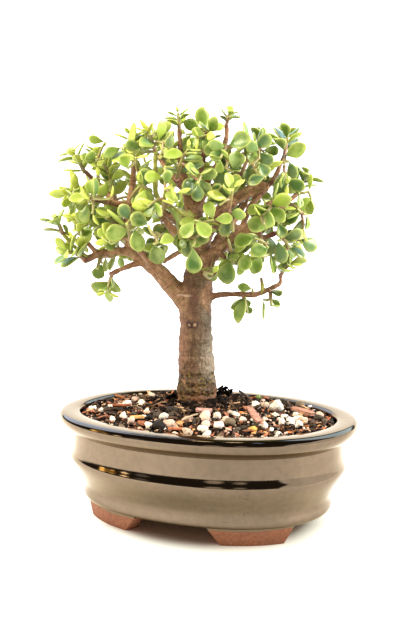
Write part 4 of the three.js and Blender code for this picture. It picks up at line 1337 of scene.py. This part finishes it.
def nearest_stem(point, stems):
    """The stem that passes nearest to the point, and the step along it."""
    best = None
    for stem, (places, *_) in enumerate(stems):
        if (places[0] - point).length > LONGEST_TWIG + 30:
            continue
        for step in range(1, len(places)):
            distance = (places[step] - point).length
            if best is None or distance < best[0]:
                best = (distance, stem, step)
    return best


def twig_path(base, base_way, target, sweep=0.35):
    """A twig that leaves its base a little forwards and then rises to the target."""
    length = (target - base).length
    way = ((target - base) / length * 0.75 + base_way * sweep).normalized()
    middle = base + way * length * 0.5 - Vector((0, 0, 0.04 * length))
    return stem_path([base, middle, target])


def main_stems():
    """Each shoot's own stem: places, directions, owner, nodes, longest leaf and youth."""
    stems = []
    for name, (foot, tip, nodes, longest) in SHOOTS.items():
        foot, tip = in_plant(foot), in_plant(tip)
        places, ways = stem_path([foot, (foot + tip) / 2 + Vector((0, 0, 1)), tip])
        stems.append((places, ways, name, nodes, longest * 1.2, youth_and_light_at(tip, random.Random(name))))
    return stems


def side_twigs(stems):
    """Twigs that fill the dome, each from the nearest stem of a shoot that isn't far."""
    draw = random.Random(7)
    for target in dome_targets():
        found = nearest_stem(target, stems)
        if not found or not NEAREST_TWIG < found[0] < LONGEST_TWIG:
            continue
        places, ways, owner = stems[found[1]][:3]
        foot, tip = in_plant(SHOOTS[owner][0]), in_plant(SHOOTS[owner][1])
        if min((target - foot).length, (target - tip).length) > WIDEST_CLUSTER:
            continue
        step = min(found[2], len(places) - 2)
        twig = twig_path(places[step], ways[step], target)
        nodes = 1 if found[0] < 8 else 2 if found[0] < 17 else 3
        stems.append((*twig, owner, nodes, draw.uniform(13.5, 18.5), youth_and_light_at(target, draw)))


def make_shoots(wood):
    """Stems first, then the leaves that stand out, then the others from the outermost twigs inwards."""
    canopy = Canopy(wood)
    shoots = {name: ShootMesh() for name in SHOOTS}
    stems = main_stems()
    side_twigs(stems)
    planned = plan_shown_leaves(stems, canopy)
    for axis, (places, ways, owner, nodes, longest, youth) in enumerate(stems):
        radii = (1.5, 1.0) if axis < len(SHOOTS) else (1.1, 0.75)
        grow_stem(shoots[owner], canopy, places, ways, radii, 0.35 + 0.6 * (1 - youth), axis)
    grow_shown_leaves(shoots, canopy, planned)
    draw = random.Random(3)
    for axis in reversed(range(len(stems))):
        places, ways, owner, nodes, longest, youth = stems[axis]
        if nodes is not None:
            grow_leaves(shoots[owner], canopy, places, ways, nodes, longest, youth, draw, axis)
    build_shoots(shoots)


def build_shoots(shoots):
    leaf, stem = leaf_material(), stem_material()
    for name, shoot in shoots.items():
        piece = new_object(f"jade_{name}", shoot.vertices, shoot.faces, [leaf, stem])
        piece.data.polygons.foreach_set("material_index", shoot.face_slots)
        for key, values in shoot.values.items():
            set_attribute(piece.data, key, values)
        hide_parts(f"shoot_{name}")
        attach(piece, "root")


# Soil and what lies on it

# Loose pieces by kind: share of the mix, shortest and longest length, how flat, lumpy and angular they are,
# how likely they lie near the trunk, and their tints
GRIT_KINDS = {
    "white_pumice": dict(
        share=0.10, size=(1.8, 5.0), flat=0.82, lump=0.42, angular=0.5, near_trunk=0.0,
        tints=((0.70, 0.58, 0.45), (0.78, 0.70, 0.58), (0.68, 0.46, 0.35), (0.54, 0.39, 0.28),
               (0.74, 0.64, 0.52)),
    ),
    "orange_bark": dict(
        share=0.26, size=(1.6, 4.4), flat=0.5, lump=0.25, angular=0.5, near_trunk=0.5,
        tints=((0.50, 0.15, 0.05), (0.40, 0.14, 0.075), (0.60, 0.27, 0.10), (0.28, 0.10, 0.05),
               (0.55, 0.32, 0.22), (0.16, 0.075, 0.04)),
    ),
    "dark_bark": dict(
        share=0.54, size=(2.2, 6.2), flat=0.6, lump=0.35, angular=0.6, near_trunk=1.6,
        tints=((0.010, 0.005, 0.003), (0.018, 0.009, 0.005), (0.036, 0.018, 0.010), (0.006, 0.003, 0.002)),
    ),
    "dark_stone": dict(
        share=0.16, size=(2.4, 6.0), flat=0.78, lump=0.15, angular=0.22, near_trunk=0.3,
        tints=((0.036, 0.027, 0.018), (0.070, 0.054, 0.036), (0.16, 0.115, 0.070), (0.022, 0.017, 0.012)),
    ),
}
AMBER_STONE = (45, -32)
AMBER = (0.50, 0.30, 0.07)
GRIT_TRIES = 11000
MOST_OVERLAP = 0.8

# Left of this place only one white grain in so many is kept, and the shown stones, which have these
# shares of their length left and right of it, are smaller.
SPARSE_LEFT = -34
SPARSE_KEPT = 8
SHOWN_SHARES = (0.88, 0.98)

CRUMBS = 3000
LUMPS = 230
STRANDS = 190
SLIVERS = 150
LIT_SHARE = 0.34

# Dark lumps are heaped up towards the trunk: nearest and furthest place, the heap's height and its reach
LUMPS_FROM, LUMPS_TO = 13.0, 36.0
HEAP_HEIGHT = 2.6
HEAP_REACH = 14.0

# What lies on top where the photograph shows it: x, y and length
SHOWN_STONES = {
    "white_pumice": [
        (-74, -23, 7), (-66, -25, 6), (-55, -9, 8), (-59, 11, 7.5), (-48, -2, 7.5), (-57, 33, 6),
        (-39, 5, 5), (-48, -43, 5), (-43, -37, 6), (-31, -49, 6), (-30, -34, 4.5), (-35, -20, 4),
        (-32, -24, 4.5), (-17, -31, 5.5), (-5, -47, 8), (-16, -53, 7), (0, -29, 6), (11, -27, 8),
        (11, -56, 6.5), (18, -48, 7), (15, -17, 6), (22, -19, 5), (24, -6, 5), (16, -38, 6),
        (23, -35, 6.5), (32, -15, 4.5), (28, 23, 7), (31, 33, 6), (42, 27, 9), (56, -7, 5.5), (61, -4, 7),
        (53, 9, 5), (62, 6, 7), (68, 1, 6.5), (68, -9, 6), (45, -9, 5.5), (49, -23, 6), (73, 25, 6),
        (59, 50, 4.5), (19, -4, 4.5), (24, -56, 5.5),
    ],
    "orange_bark": [
        (-79, -8, 4), (-75, 14, 4), (-44, 5, 5), (-33, 9, 5), (-36, -31, 3.5), (-24, -49, 7), (-1, -40, 6.5),
        (2, -35, 4.5), (23, 16, 5), (26, 0, 5), (7, 29, 4), (52, -12, 4), (47, -36, 5), (31, -38, 4),
        (33, 50, 5), (-68, -29, 4), (-28, -43, 4),
    ],
    "dark_stone": [
        (-18, -16, 8.5), (-10, -53, 8.5), (-25, -35, 5.5), (27, -25, 9), (74, 15, 6.5), (39, -33, 6),
        (6, -36, 5.5), (-40, -29, 4.5), (53, 46, 7), (-77, 4, 5), (45, -32, 6),
    ],
}

# Slivers that lie on top: x, y, size, turn in degrees, rise and tint
SHOWN_CHIPS = [
    ((5, -16), (10, 8.5, 1.5), 20, 3.4, (0.46, 0.24, 0.19)),
    ((38, -8), (40, 5.0, 1.6), -60, 2.6, (0.40, 0.20, 0.14)),
    ((61, 26), (22, 5.0, 2.2), -35, 2.6, (0.42, 0.21, 0.14)),
    ((14, 43), (30, 1.7, 1.2), -50, 3.0, (0.10, 0.06, 0.04)),
    ((3, -34), (22, 1.1, 0.9), 88, 4.0, (0.42, 0.30, 0.18)),
    ((4, -55), (13, 2.0, 1.4), -5, 2.2, (0.45, 0.16, 0.08)),
    ((-55, -18), (13, 4.0, 1.2), 25, 3.4, (0.24, 0.08, 0.035)),
    ((-60, -17), (14, 3.0, 1.6), 80, 3.0, (0.74, 0.60, 0.46)),
    ((-74, 15), (19, 1.6, 1.2), -42, 2.8, (0.34, 0.13, 0.05)),
    ((-31, -41), (9, 3.4, 1.6), 40, 2.6, (0.66, 0.36, 0.12)),
]

SLIVER_TINTS = (
    (0.36, 0.14, 0.08), (0.05, 0.032, 0.02), (0.13, 0.07, 0.045), (0.07, 0.045, 0.03), (0.50, 0.30, 0.16),
)
STRAND_TINTS = ((0.16, 0.10, 0.055), (0.05, 0.032, 0.02), (0.34, 0.24, 0.13), (0.24, 0.12, 0.06))
PEAT_TINTS = ((0.006, 0.0034, 0.002), (0.012, 0.0065, 0.0035), (0.024, 0.013, 0.007), (0.009, 0.005, 0.003))
LIT_CRUMB_TINTS = (
    (0.40, 0.15, 0.07), (0.52, 0.38, 0.26), (0.30, 0.11, 0.05), (0.20, 0.10, 0.05), (0.50, 0.24, 0.14),
)

# Heaps of leaf mould by the trunk: x, y and number of flakes
LEAF_MOULD_TUFTS = ((-2.0, 42.0, 16), (-30.0, 12.0, 10))

# A sprig of small leaves at the soil's back edge
SPRIG_PLACE = (21, 48)
SPRIG_LEAVES = 9
SPRIG_GREEN = (0.38, 0.50, 0.13)

STRAND_STEPS = 8


def soil_height(x, y):
    distance = math.hypot(x - TRUNK_FOOT.x, y - TRUNK_FOOT.y)
    return SOIL_EDGE_HEIGHT + SOIL_MOUND * max(0.0, 1 - distance / MOUND_REACH)


def soil_relief(x, y):
    place = Vector((x * 0.16, y * 0.16, 3.0))
    return 1.1 * noise.fractal(place, 0.7, 2.0, 3) + 0.5 * noise.noise(Vector((x * 0.7, y * 0.7, 9.0)))


def ground(x, y):
    return soil_height(x, y) + soil_relief(x, y) * 0.7 - SOIL_SINK


def make_soil():
    """The filling, mounded towards the trunk, its relief fading out towards the wall."""
    top = [(SOIL_RADIUS * (1 - k / SOIL_RINGS), SOIL_EDGE_HEIGHT) for k in range(SOIL_RINGS + 1)]
    bottom = FLOOR_HEIGHT + SCREEN_ROOM
    wall = [(SOIL_FLOOR_RADIUS - 1, bottom), (SOIL_RADIUS - 2, 34.0), (SOIL_RADIUS, 42.0)]
    profile = [(0.0, bottom), *wall, *top]
    vertices, faces = oval_lathe(profile, SOIL_SEGMENTS)
    shaped = []
    for x, y, z in vertices:
        if z > SOIL_EDGE_HEIGHT - 1:
            inward = clamped((1 - math.hypot(x / SOIL_RADIUS, y / (SOIL_RADIUS - 23.9))) * 12)
            z = soil_height(x, y) - SOIL_SINK + soil_relief(x, y) * (0.35 + 0.65 * inward)
        shaped.append((x, y, z))
    soil = new_object("potting_mix_bed", shaped, faces, [soil_material()])
    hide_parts("soil")
    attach(soil, "root")


def any_place(draw):
    return Vector((draw.uniform(0, 90), draw.uniform(0, 90), draw.uniform(0, 90)))


def taken_from(body, size):
    """A bmesh's vertices, stretched to the size, and its faces."""
    vertices = [Vector([vertex.co[axis] * size[axis] for axis in range(3)]) for vertex in body.verts]
    faces = [tuple(vertex.index for vertex in face.verts) for face in body.faces]
    body.free()
    return vertices, faces


def stone_mesh(draw, size, subdivisions, lumpiness, angular):
    """An irregular stone about its own middle."""
    body = bmesh.new()
    bmesh.ops.create_icosphere(body, subdivisions=subdivisions, radius=0.5)
    seed = any_place(draw)
    for vertex in body.verts:
        rough = noise.fractal(vertex.co * 2.2 + seed, 0.6, 2.0, 3)
        facet = noise.voronoi(vertex.co * 1.6 + seed)[0][0]
        vertex.co *= 1 + lumpiness * rough + angular * (facet - 0.35)
    return taken_from(body, size)


def chip_mesh(draw, size):
    """A split, slightly curved sliver of bark."""
    body = bmesh.new()
    bmesh.ops.create_cube(body, size=1.0)
    bmesh.ops.subdivide_edges(body, edges=body.edges[:], cuts=3, use_grid_fill=True)
    seed = any_place(draw)
    bend = draw.uniform(-0.2, 0.25)
    for vertex in body.verts:
        vertex.co += noise.noise_vector(vertex.co * 1.7 + seed) * 0.13
        vertex.co.y *= 1 - 0.35 * abs(vertex.co.x)
        vertex.co.z += bend * vertex.co.x ** 2 * size[0] / max(size[2], 0.5) * 0.4
    return taken_from(body, size)


def inside_soil(x, y, margin):
    short = SOIL_RADIUS - (LIP_HALF_LENGTH - LIP_HALF_WIDTH)
    reach = (abs(x) / (SOIL_RADIUS - margin)) ** OVAL_POWER + (abs(y) / (short - margin)) ** OVAL_POWER
    from_trunk = math.hypot(x - TRUNK_FOOT.x, y - TRUNK_FOOT.y)
    return reach < 1 and from_trunk > 14.5 + margin * 0.4


class GroundCover(Parts):
    """Collects loose pieces of one kind, each resting on the soil or on earlier pieces."""

    def __init__(self):
        super().__init__()
        self.tints = []

    def add(self, draw, mesh, place, height, tint, tilt=0.5):
        """A piece turned any way round its upright and leaning by up to the tilt, its tint a little off."""
        turn = Matrix.Rotation(draw.uniform(0, 2 * math.pi), 3, "Z")
        lean = Matrix.Rotation(draw.uniform(-tilt, tilt), 3, "X")
        lean = lean @ Matrix.Rotation(draw.uniform(-tilt, tilt), 3, "Y")
        vertices = [turn @ (lean @ vertex) for vertex in mesh[0]]
        shade = draw.uniform(0.82, 1.14)
        self.add_placed(vertices, mesh[1], (*place, height), [min(1.0, part * shade) for part in tint])

    def add_placed(self, vertices, faces, place, tint):
        centre = Vector(place)
        self.add_part([vertex + centre for vertex in vertices], faces)
        self.tints += [(*tint, 1.0)] * len(vertices)

    def build(self, name, material, slot, *nodes):
        piece = new_object(name, self.vertices, self.faces, [material])
        set_attribute(piece.data, "tint", self.tints, "FLOAT_COLOR")
        if nodes:
            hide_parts(*nodes)
        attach(piece, "root")
        return piece


def room_for(x, y, radius, taken):
    """Whether a disc stays clear of the discs laid so far."""
    cell = 4.0
    column, row = int(x // cell), int(y // cell)
    reach = int((radius + 4.0) // cell) + 1
    for i in range(column - reach, column + reach + 1):
        for j in range(row - reach, row + reach + 1):
            for other_x, other_y, other_radius in taken.get((i, j), ()):
                if math.hypot(x - other_x, y - other_y) < (radius + other_radius) * MOST_OVERLAP:
                    return False
    taken.setdefault((column, row), []).append((x, y, radius))
    return True


def lay_stone(draw, cover, kind, x, y, length, proud, tint=None):
    facts = GRIT_KINDS[kind]
    size = (length, length * draw.uniform(0.7, 0.95), length * facts["flat"] * draw.uniform(0.8, 1.1))
    mesh = stone_mesh(draw, size, 2, facts["lump"], facts["angular"])
    cover.add(draw, mesh, (x, y), ground(x, y) + size[2] * proud, tint or draw.choice(facts["tints"]))


def lay_shown_stones(draw, covers, taken):
    """The larger stones and chips where the photograph shows them."""
    for kind, stones in SHOWN_STONES.items():
        for x, y, length in stones:
            room_for(x, y, length * 0.5, taken)
            amber = AMBER if (x, y) == AMBER_STONE else None
            share = SHOWN_SHARES[x > SPARSE_LEFT]
            lay_stone(draw, covers[kind], kind, x, y, length * share, 0.42, amber)


def lay_mixed_grit(draw, covers, taken):
    """The mix between them, from the largest grains to the smallest, with its own kinds round the trunk."""
    for attempt in range(GRIT_TRIES):
        kind = draw.choices(list(GRIT_KINDS), [facts["share"] for facts in GRIT_KINDS.values()])[0]
        smallest, largest = GRIT_KINDS[kind]["size"]
        longest = smallest + (largest - smallest) * (1 - attempt / GRIT_TRIES) ** 1.5
        length = draw.uniform(smallest * 0.6, longest)
        x, y = draw.uniform(-90, 90), draw.uniform(-66, 66)
        if not inside_soil(x, y, length * 0.35):
            continue
        nearness = clamped((46 - math.hypot(x - TRUNK_FOOT.x, y - TRUNK_FOOT.y)) / 16)
        if draw.random() > 1 - nearness + nearness * GRIT_KINDS[kind]["near_trunk"]:
            continue
        if kind == "white_pumice" and x < SPARSE_LEFT and attempt % SPARSE_KEPT:
            continue
        if room_for(x, y, length * 0.44, taken):
            lay_stone(draw, covers[kind], kind, x, y, length, draw.uniform(0.15, 0.38))


def make_grit():
    draw = random.Random(11)
    covers = {kind: GroundCover() for kind in GRIT_KINDS}
    taken = {}
    lay_shown_stones(draw, covers, taken)
    lay_mixed_grit(draw, covers, taken)
    white = grit_material("pumice_grit", 900.0, 0.7, 0.9)
    brown = grit_material("bark_grit", 700.0, 0.8, 0.85)
    grey = grit_material("stone_grit", 500.0, 0.35, 0.6)
    covers["white_pumice"].build(
        "loose_pumice", white, "pumice", "pumice_01", "pumice_02", "pumice_03", "pumice_04",
    )
    covers["orange_bark"].build("loose_red_bark", brown, "bark_chips")
    covers["dark_bark"].build("loose_dark_bark", brown, "bark_chips")
    covers["dark_stone"].build("loose_stones", grey, "amber_stone", "amber_pebble")


def make_chips():
    """Slivers of bark, the larger ones where the photograph shows them."""
    draw = random.Random(5)
    cover = GroundCover()
    for (x, y), size, turn, rise, tint in SHOWN_CHIPS:
        vertices, faces = chip_mesh(draw, size)
        lean = Matrix.Rotation(draw.uniform(-0.12, 0.12), 3, "Y")
        spin = Matrix.Rotation(math.radians(turn), 3, "Z") @ lean
        placed = [spin @ vertex for vertex in vertices]
        cover.add_placed(placed, faces, (x, y, soil_height(x, y) + rise), tint)
    for _ in range(SLIVERS):
        x, y = draw.uniform(-86, 86), draw.uniform(-62, 62)
        if not inside_soil(x, y, 3.0):
            continue
        size = (draw.uniform(4, 11), draw.uniform(1.0, 2.8), draw.uniform(0.6, 1.3))
        tint = draw.choice(SLIVER_TINTS)
        height = soil_height(x, y) + draw.uniform(0.6, 2.0)
        cover.add(draw, chip_mesh(draw, size), (x, y), height, tint, 0.4)
    material = grit_material("bark_sliver", 420.0, 0.8, 0.85)
    cover.build("bark_slivers", material, "bark_chips", "bark_chip_01", "bark_chip_02", "bark_chip_03")


def around_trunk(draw, nearest, furthest):
    """A place at a drawn angle and distance from the trunk, and that distance."""
    angle, distance = draw.uniform(0, 2 * math.pi), draw.uniform(nearest, furthest)
    x, y = TRUNK_FOOT.x + distance * math.cos(angle), TRUNK_FOOT.y + distance * math.sin(angle)
    return x, y, distance


def scatter_crumbs(draw, cover):
    for _ in range(CRUMBS):
        x, y = draw.uniform(-88, 88), draw.uniform(-64, 64)
        if not inside_soil(x, y, 0.6):
            continue
        length = draw.uniform(0.8, 2.2)
        size = (length, length * draw.uniform(0.6, 1), length * draw.uniform(0.5, 0.9))
        tints = LIT_CRUMB_TINTS if draw.random() < LIT_SHARE else PEAT_TINTS
        tint = draw.choice(tints)
        stone = stone_mesh(draw, size, 1, 0.3, 0.4)
        cover.add(draw, stone, (x, y), ground(x, y) + draw.uniform(0.2, 1.6), tint)


def heap_lumps(draw, cover):
    for _ in range(LUMPS):
        x, y, distance = around_trunk(draw, LUMPS_FROM, LUMPS_TO)
        length = draw.uniform(2.4, 6.5)
        size = (length, length * draw.uniform(0.5, 0.9), length * draw.uniform(0.4, 0.75))
        heap = HEAP_HEIGHT * max(0.0, 1 - (distance - LUMPS_FROM) / HEAP_REACH)
        height = ground(x, y) + draw.uniform(0.2, 1.4) + heap
        cover.add(draw, stone_mesh(draw, size, 2, 0.6, 0.5), (x, y), height, draw.choice(PEAT_TINTS), 0.9)


def stack_leaf_mould(draw, cover):
    for middle_x, middle_y, flakes in LEAF_MOULD_TUFTS:
        for flake in range(flakes):
            x, y = middle_x + draw.uniform(-4.2, 4.2), middle_y + draw.uniform(-4.2, 4.2)
            size = (draw.uniform(4.5, 8.0), draw.uniform(2.5, 4.5), 0.7)
            height = soil_height(x, y) + 1.0 + 0.42 * flake
            cover.add(draw, chip_mesh(draw, size), (x, y), height, draw.choice(PEAT_TINTS), 1.2)


def make_crumbs():
    """Compost crumbs between the grains, dark lumps heaped round the trunk, and tufts of leaf mould."""
    draw = random.Random(23)
    cover = GroundCover()
    scatter_crumbs(draw, cover)
    heap_lumps(draw, cover)
    stack_leaf_mould(draw, cover)
    cover.build("soil_crumbs", grit_material("crumb_grit", 1200.0, 0.6, 0.9), "potting_mix")


def strand(draw, x, y, length):
    """A fine wandering strand that lies over the ground and thins towards its end."""
    heading = draw.uniform(0, 2 * math.pi)
    lift = draw.uniform(0.8, 3.4)
    places = []
    for k in range(STRAND_STEPS + 1):
        height = ground(x, y) + 0.9 + lift * math.sin(math.pi * k / STRAND_STEPS)
        places.append(Vector((x, y, height)))
        heading += draw.uniform(-0.5, 0.5)
        x += length / STRAND_STEPS * math.cos(heading)
        y += length / STRAND_STEPS * math.sin(heading)
    thick = draw.uniform(0.14, 0.32)
    radii = [thick * (1 - 0.5 * k / STRAND_STEPS) for k in range(STRAND_STEPS + 1)]
    return tube(places, ways_along(places), radii, 5)


def add_sprig(draw, cover):
    x, y = SPRIG_PLACE
    for _ in range(SPRIG_LEAVES):
        vertices, faces, _ = leaf_mesh(draw.uniform(2.2, 3.6), 1.1, 0.4, 0.6, -0.1, 0.1, 0.0)
        heading = draw.uniform(0, 2 * math.pi)
        way = Vector((math.cos(heading), math.sin(heading), draw.uniform(0.3, 1.6))).normalized()
        foot = Vector((x + draw.uniform(-1.5, 1.5), y + draw.uniform(-1.5, 1.5), soil_height(x, y) + 1.6))
        placed = turned(vertices, foot, way, way.orthogonal().normalized())
        cover.add_placed(placed, faces, (0, 0, 0), SPRIG_GREEN)


def make_strands():
    """Fine roots and fibres, two in three of them close round the trunk, and a green sprig behind it."""
    draw = random.Random(41)
    cover = GroundCover()
    for k in range(STRANDS):
        nearest, furthest = (15, 34) if k % 3 else (30, 70)
        x, y, _ = around_trunk(draw, nearest, furthest)
        if not inside_soil(x, y, 8.0):
            continue
        vertices, faces = strand(draw, x, y, draw.uniform(5, 15))
        cover.add_placed(vertices, faces, (0, 0, 0), draw.choice(STRAND_TINTS))
    add_sprig(draw, cover)
    cover.build("root_strands", grit_material("strand_fibre", 900.0, 0.4, 0.8), "potting_mix")
# Stage

# What the gloss mirrors above the white surroundings: direction (across, away, up), edge and softness of the
# cosine from it, and colour
ROOM_GLOWS = [
    ((0.80, -0.60, 0.00), 0.940, 0.010, (1.85, 1.85, 1.9)),
    ((0.97, -0.18, 0.04), 0.930, 0.030, (2.15, 2.15, 2.2)),
    ((0.93, 0.36, 0.04), 0.930, 0.012, (2.3, 2.3, 2.3)),
    ((-0.48, 0.60, 0.64), 0.888, 0.022, (1.9, 2.6, 4.3)),
    ((0.60, 0.50, 0.62), 0.900, 0.022, (1.8, 2.8, 4.2)),
    ((-0.90, 0.02, 0.43), 0.9960, 0.0025, (1.3, 0.85, 0.25)),
    ((-0.97, -0.12, 0.22), 0.9950, 0.0025, (1.0, 0.62, 0.16)),
    ((-0.97, 0.02, 0.25), 0.9992, 0.0004, (9.0, 5.8, 1.9)),
    ((-0.99, -0.02, 0.13), 0.9988, 0.0006, (6.0, 4.2, 1.5)),
    ((-0.97, -0.19, 0.15), 0.9995, 0.0003, (3.4, 2.3, 0.8)),
    ((-0.92, -0.35, 0.17), 0.9990, 0.0006, (7.0, 5.8, 4.0)),
    ((-0.83, -0.53, 0.18), 0.9975, 0.0012, (0.45, 0.45, 0.50)),
    ((-0.20, 0.05, 0.98), 0.9984, 0.0006, (11.0, 10.0, 8.6)),
    ((-0.01, 0.05, 1.00), 0.9984, 0.0006, (11.0, 10.0, 8.6)),
    ((0.16, -0.20, 0.96), 0.9992, 0.0005, (2.5, 4.0, 9.0)),
    ((-0.28, -0.94, 0.16), 0.9950, 0.0030, (1.2, 1.12, 1.05)),
    ((0.02, -0.97, 0.20), 0.9970, 0.0020, (1.0, 0.94, 0.88)),
]
BACKDROP_GLOW = 2.3
ROOM_DARK = (0.06, 0.05, 0.042)

# The lit sweep behind the pot, as the gloss mirrors it: where it starts and ends towards the back, how far
# it rises, and the softness of its top
SWEEP_FROM, SWEEP_TO = 0.74, 0.955
SWEEP_RISE, SWEEP_BASE = 0.46, 0.015
SWEEP_SOFT = (-0.014, 0.035)

# The soft boxes light leaves, wood and soil, which mirror them more strongly than they are lit
LAMP_AIM = Vector((0.0, 0.0, 0.14))
LAMP_GLOSS = 8.0

TABLE_HALF = 4000
TABLE_GLOW = 2.4


def make_camera():
    right = view_way(1.0, 0.0, 0.0)
    up = VIEW_BACK.cross(right)
    rolled_right = right * math.cos(VIEW_ROLL) + up * math.sin(VIEW_ROLL)
    rolled_up = up * math.cos(VIEW_ROLL) - right * math.sin(VIEW_ROLL)
    rotation = Matrix((rolled_right, rolled_up, VIEW_BACK)).transposed().to_4x4()
    camera = bpy.data.objects.new("camera", bpy.data.cameras.new("camera"))
    camera.data.lens = LENS_MM
    camera.data.sensor_width = SENSOR_MM
    camera.data.clip_start = 0.01
    camera.matrix_world = Matrix.Translation(VIEW_TARGET + VIEW_BACK * VIEW_DISTANCE) @ rotation
    bpy.context.scene.collection.objects.link(camera)
    bpy.context.scene.camera = camera


def soft_light(name, place, size, power, colour, receivers):
    """A soft box whose light is flagged off the pot and the table."""
    light = bpy.data.lights.new(name, "AREA")
    light.shape = "RECTANGLE"
    light.size, light.size_y = size
    light.energy = power
    light.color = colour
    light.specular_factor = LAMP_GLOSS
    lamp = bpy.data.objects.new(name, light)
    lamp.location = view_way(*place)
    lamp.rotation_euler = (LAMP_AIM - lamp.location).to_track_quat("-Z", "Y").to_euler()
    lamp.light_linking.receiver_collection = receivers
    bpy.context.scene.collection.objects.link(lamp)


def mirrored_room(s, height, white):
    """What the gloss mirrors: a dark room with panels and lamps, and the white sweep below and behind."""
    room = ROOM_DARK
    for way, edge, soft, glow in ROOM_GLOWS:
        toward = s.along(s.place, view_way(*way).normalized())
        room = s.mix(s.between(toward, edge - soft, edge + soft), room, glow)
    back = s.between(s.along(s.place, view_way(0.0, 1.0, 0.0)), SWEEP_FROM, SWEEP_TO)
    above = s.math("SUBTRACT", height, s.scaled(back, SWEEP_RISE, SWEEP_BASE))
    return s.mix(s.between(above, *SWEEP_SOFT), white, room)


def make_world():
    """White for the camera, a room for the gloss, and soft light from below and behind for the rest."""
    s = Shader("studio", world=True)
    white = (BACKDROP_GLOW, BACKDROP_GLOW, BACKDROP_GLOW)
    height = s.node("ShaderNodeSeparateXYZ", {0: s.place}).outputs["Z"]
    soft = s.mix(s.between(height, 0.0, 0.6), (1.6, 1.6, 1.6), (0.31, 0.30, 0.28))
    front = s.between(s.along(s.place, view_way(0.0, -1.0, 0.0)), 0.0, 0.7)
    soft = s.mix(front, soft, (0.30, 0.29, 0.27))
    path = s.node("ShaderNodeLightPath").outputs
    around = s.mix(path["Is Glossy Ray"], soft, mirrored_room(s, height, white))
    colour = s.mix(path["Is Camera Ray"], around, white)
    background = s.node("ShaderNodeBackground", {"Color": colour})
    s.node("ShaderNodeOutputWorld", {0: background.outputs[0]})
    bpy.context.scene.world = s.made


def table_glow(s, distance):
    """The table's glow round the pot's shadow, less in front of the pot and a little less at the left."""
    near_zero = s.math("MAXIMUM", distance, 0.01)
    frontward = s.math("DIVIDE", s.along(s.place, view_way(0.0, -1.0, 0.0)), near_zero)
    leftward = s.math("DIVIDE", s.along(s.place, view_way(-1.0, 0.0, 0.0)), near_zero)
    leftward = s.scaled(leftward, 0.5, 0.5)
    aside = s.ramp(frontward, [(0.45, 1.0), (0.85, 0.56)], smooth=True)
    side = s.ramp(leftward, [(0.0, 0.82), (0.5, 0.95), (1.0, 0.94)])
    inward = s.ramp(leftward, [(0.0, 0.006), (0.35, 0.003), (0.5, 0.0), (0.90, 0.0), (0.97, 0.008)])
    reached = s.math("ADD", distance, inward)
    lit = s.ramp(reached, [(0.073, 0.0), (0.083, 0.45), (0.096, 0.95), (0.11, 1.08), (0.3, 1.1)])
    near = s.ramp(distance, [(0.10, 1.0), (0.2, 0.0)])
    near = s.times(near, s.ramp(frontward, [(0.3, 0.22), (0.8, 0.0)]))
    lit = s.times(s.times(lit, aside), s.rest_of(near))
    return s.times(s.times(lit, side), TABLE_GLOW)


def make_floor():
    """A pale table that glows outside the pot's own shadow, as a lit sweep does."""
    corners = [(x * TABLE_HALF, y * TABLE_HALF, 0) for x, y in ((-1, -1), (1, -1), (1, 1), (-1, 1))]
    floor = new_object("floor", corners, [(0, 1, 2, 3)], [])
    s = Shader("pale_table")
    tone = s.ramp(s.noise(6.0, 2.0), [(0.3, (0.60, 0.60, 0.595)), (0.7, (0.62, 0.62, 0.615))])
    oval = s.stretched(s.place, (1.0, 1.25, 0.0))
    distance = s.node("ShaderNodeVectorMath", {0: oval}, operation="LENGTH").outputs["Value"]
    # Painted bounce light: the table is warmer under the pot and round its feet.
    tone = s.stain(tone, distance, [(0.060, 1.0), (0.092, 0.0)], (0.85, 0.56, 0.37))
    # Painted light: the glow is tinted yellow-green at the edge of the pot's shadow.
    shadow_edge_tint = s.ramp(distance, [(0.088, (0.97, 0.96, 0.80)), (0.115, (1.0, 1.0, 1.0))])
    surface = s.principled(Base_Color=tone, Roughness=0.7, Emission_Color=shadow_edge_tint,
                           Emission_Strength=table_glow(s, distance))
    floor.data.materials.append(s.finish(surface))


def overhead_light():
    """Even light from above that the gloss doesn't mirror."""
    light = bpy.data.lights.new("overhead", "SUN")
    light.energy = 1.7
    light.angle = math.radians(60)
    light.color = (1.0, 0.985, 0.96)
    lamp = bpy.data.objects.new("overhead", light)
    lamp.rotation_euler = (-view_way(-0.40, 0.0, 1.0)).to_track_quat("-Z", "Y").to_euler()
    lamp.visible_glossy = False
    bpy.context.scene.collection.objects.link(lamp)


def make_studio():
    make_camera()
    make_world()
    make_floor()
    overhead_light()
    bpy.context.scene.view_settings.view_transform = "Standard"


def light_plant():
    """Soft boxes for the sheen on leaves, wood and soil."""
    receivers = bpy.data.collections.new("plant_and_soil")
    for piece in bpy.data.objects:
        if piece.type == "MESH" and piece.name not in ("floor", "glazed_pot"):
            receivers.objects.link(piece)
    soft_light("warm_key", (-0.60, -0.30, 0.68), (0.42, 0.36), 18.0, (1.0, 0.94, 0.80), receivers)
    soft_light("cool_window", (0.72, -0.20, 0.50), (0.30, 0.40), 20.0, (0.95, 0.97, 1.0), receivers)


def finish_screens():
    """The drainage screens keep their CAD meshes and get the plastic's material."""
    plastic = screen_material()
    for side in ("left", "right"):
        screen = frame["nodes"][f"drain_screen_{side}"]
        screen.data.materials.clear()
        screen.data.materials.append(plastic)


make_studio()
make_pot()
old_wood = make_wood()
make_shoots(old_wood)
make_soil()
make_grit()
make_chips()
make_crumbs()
make_strands()
finish_screens()
light_plant()
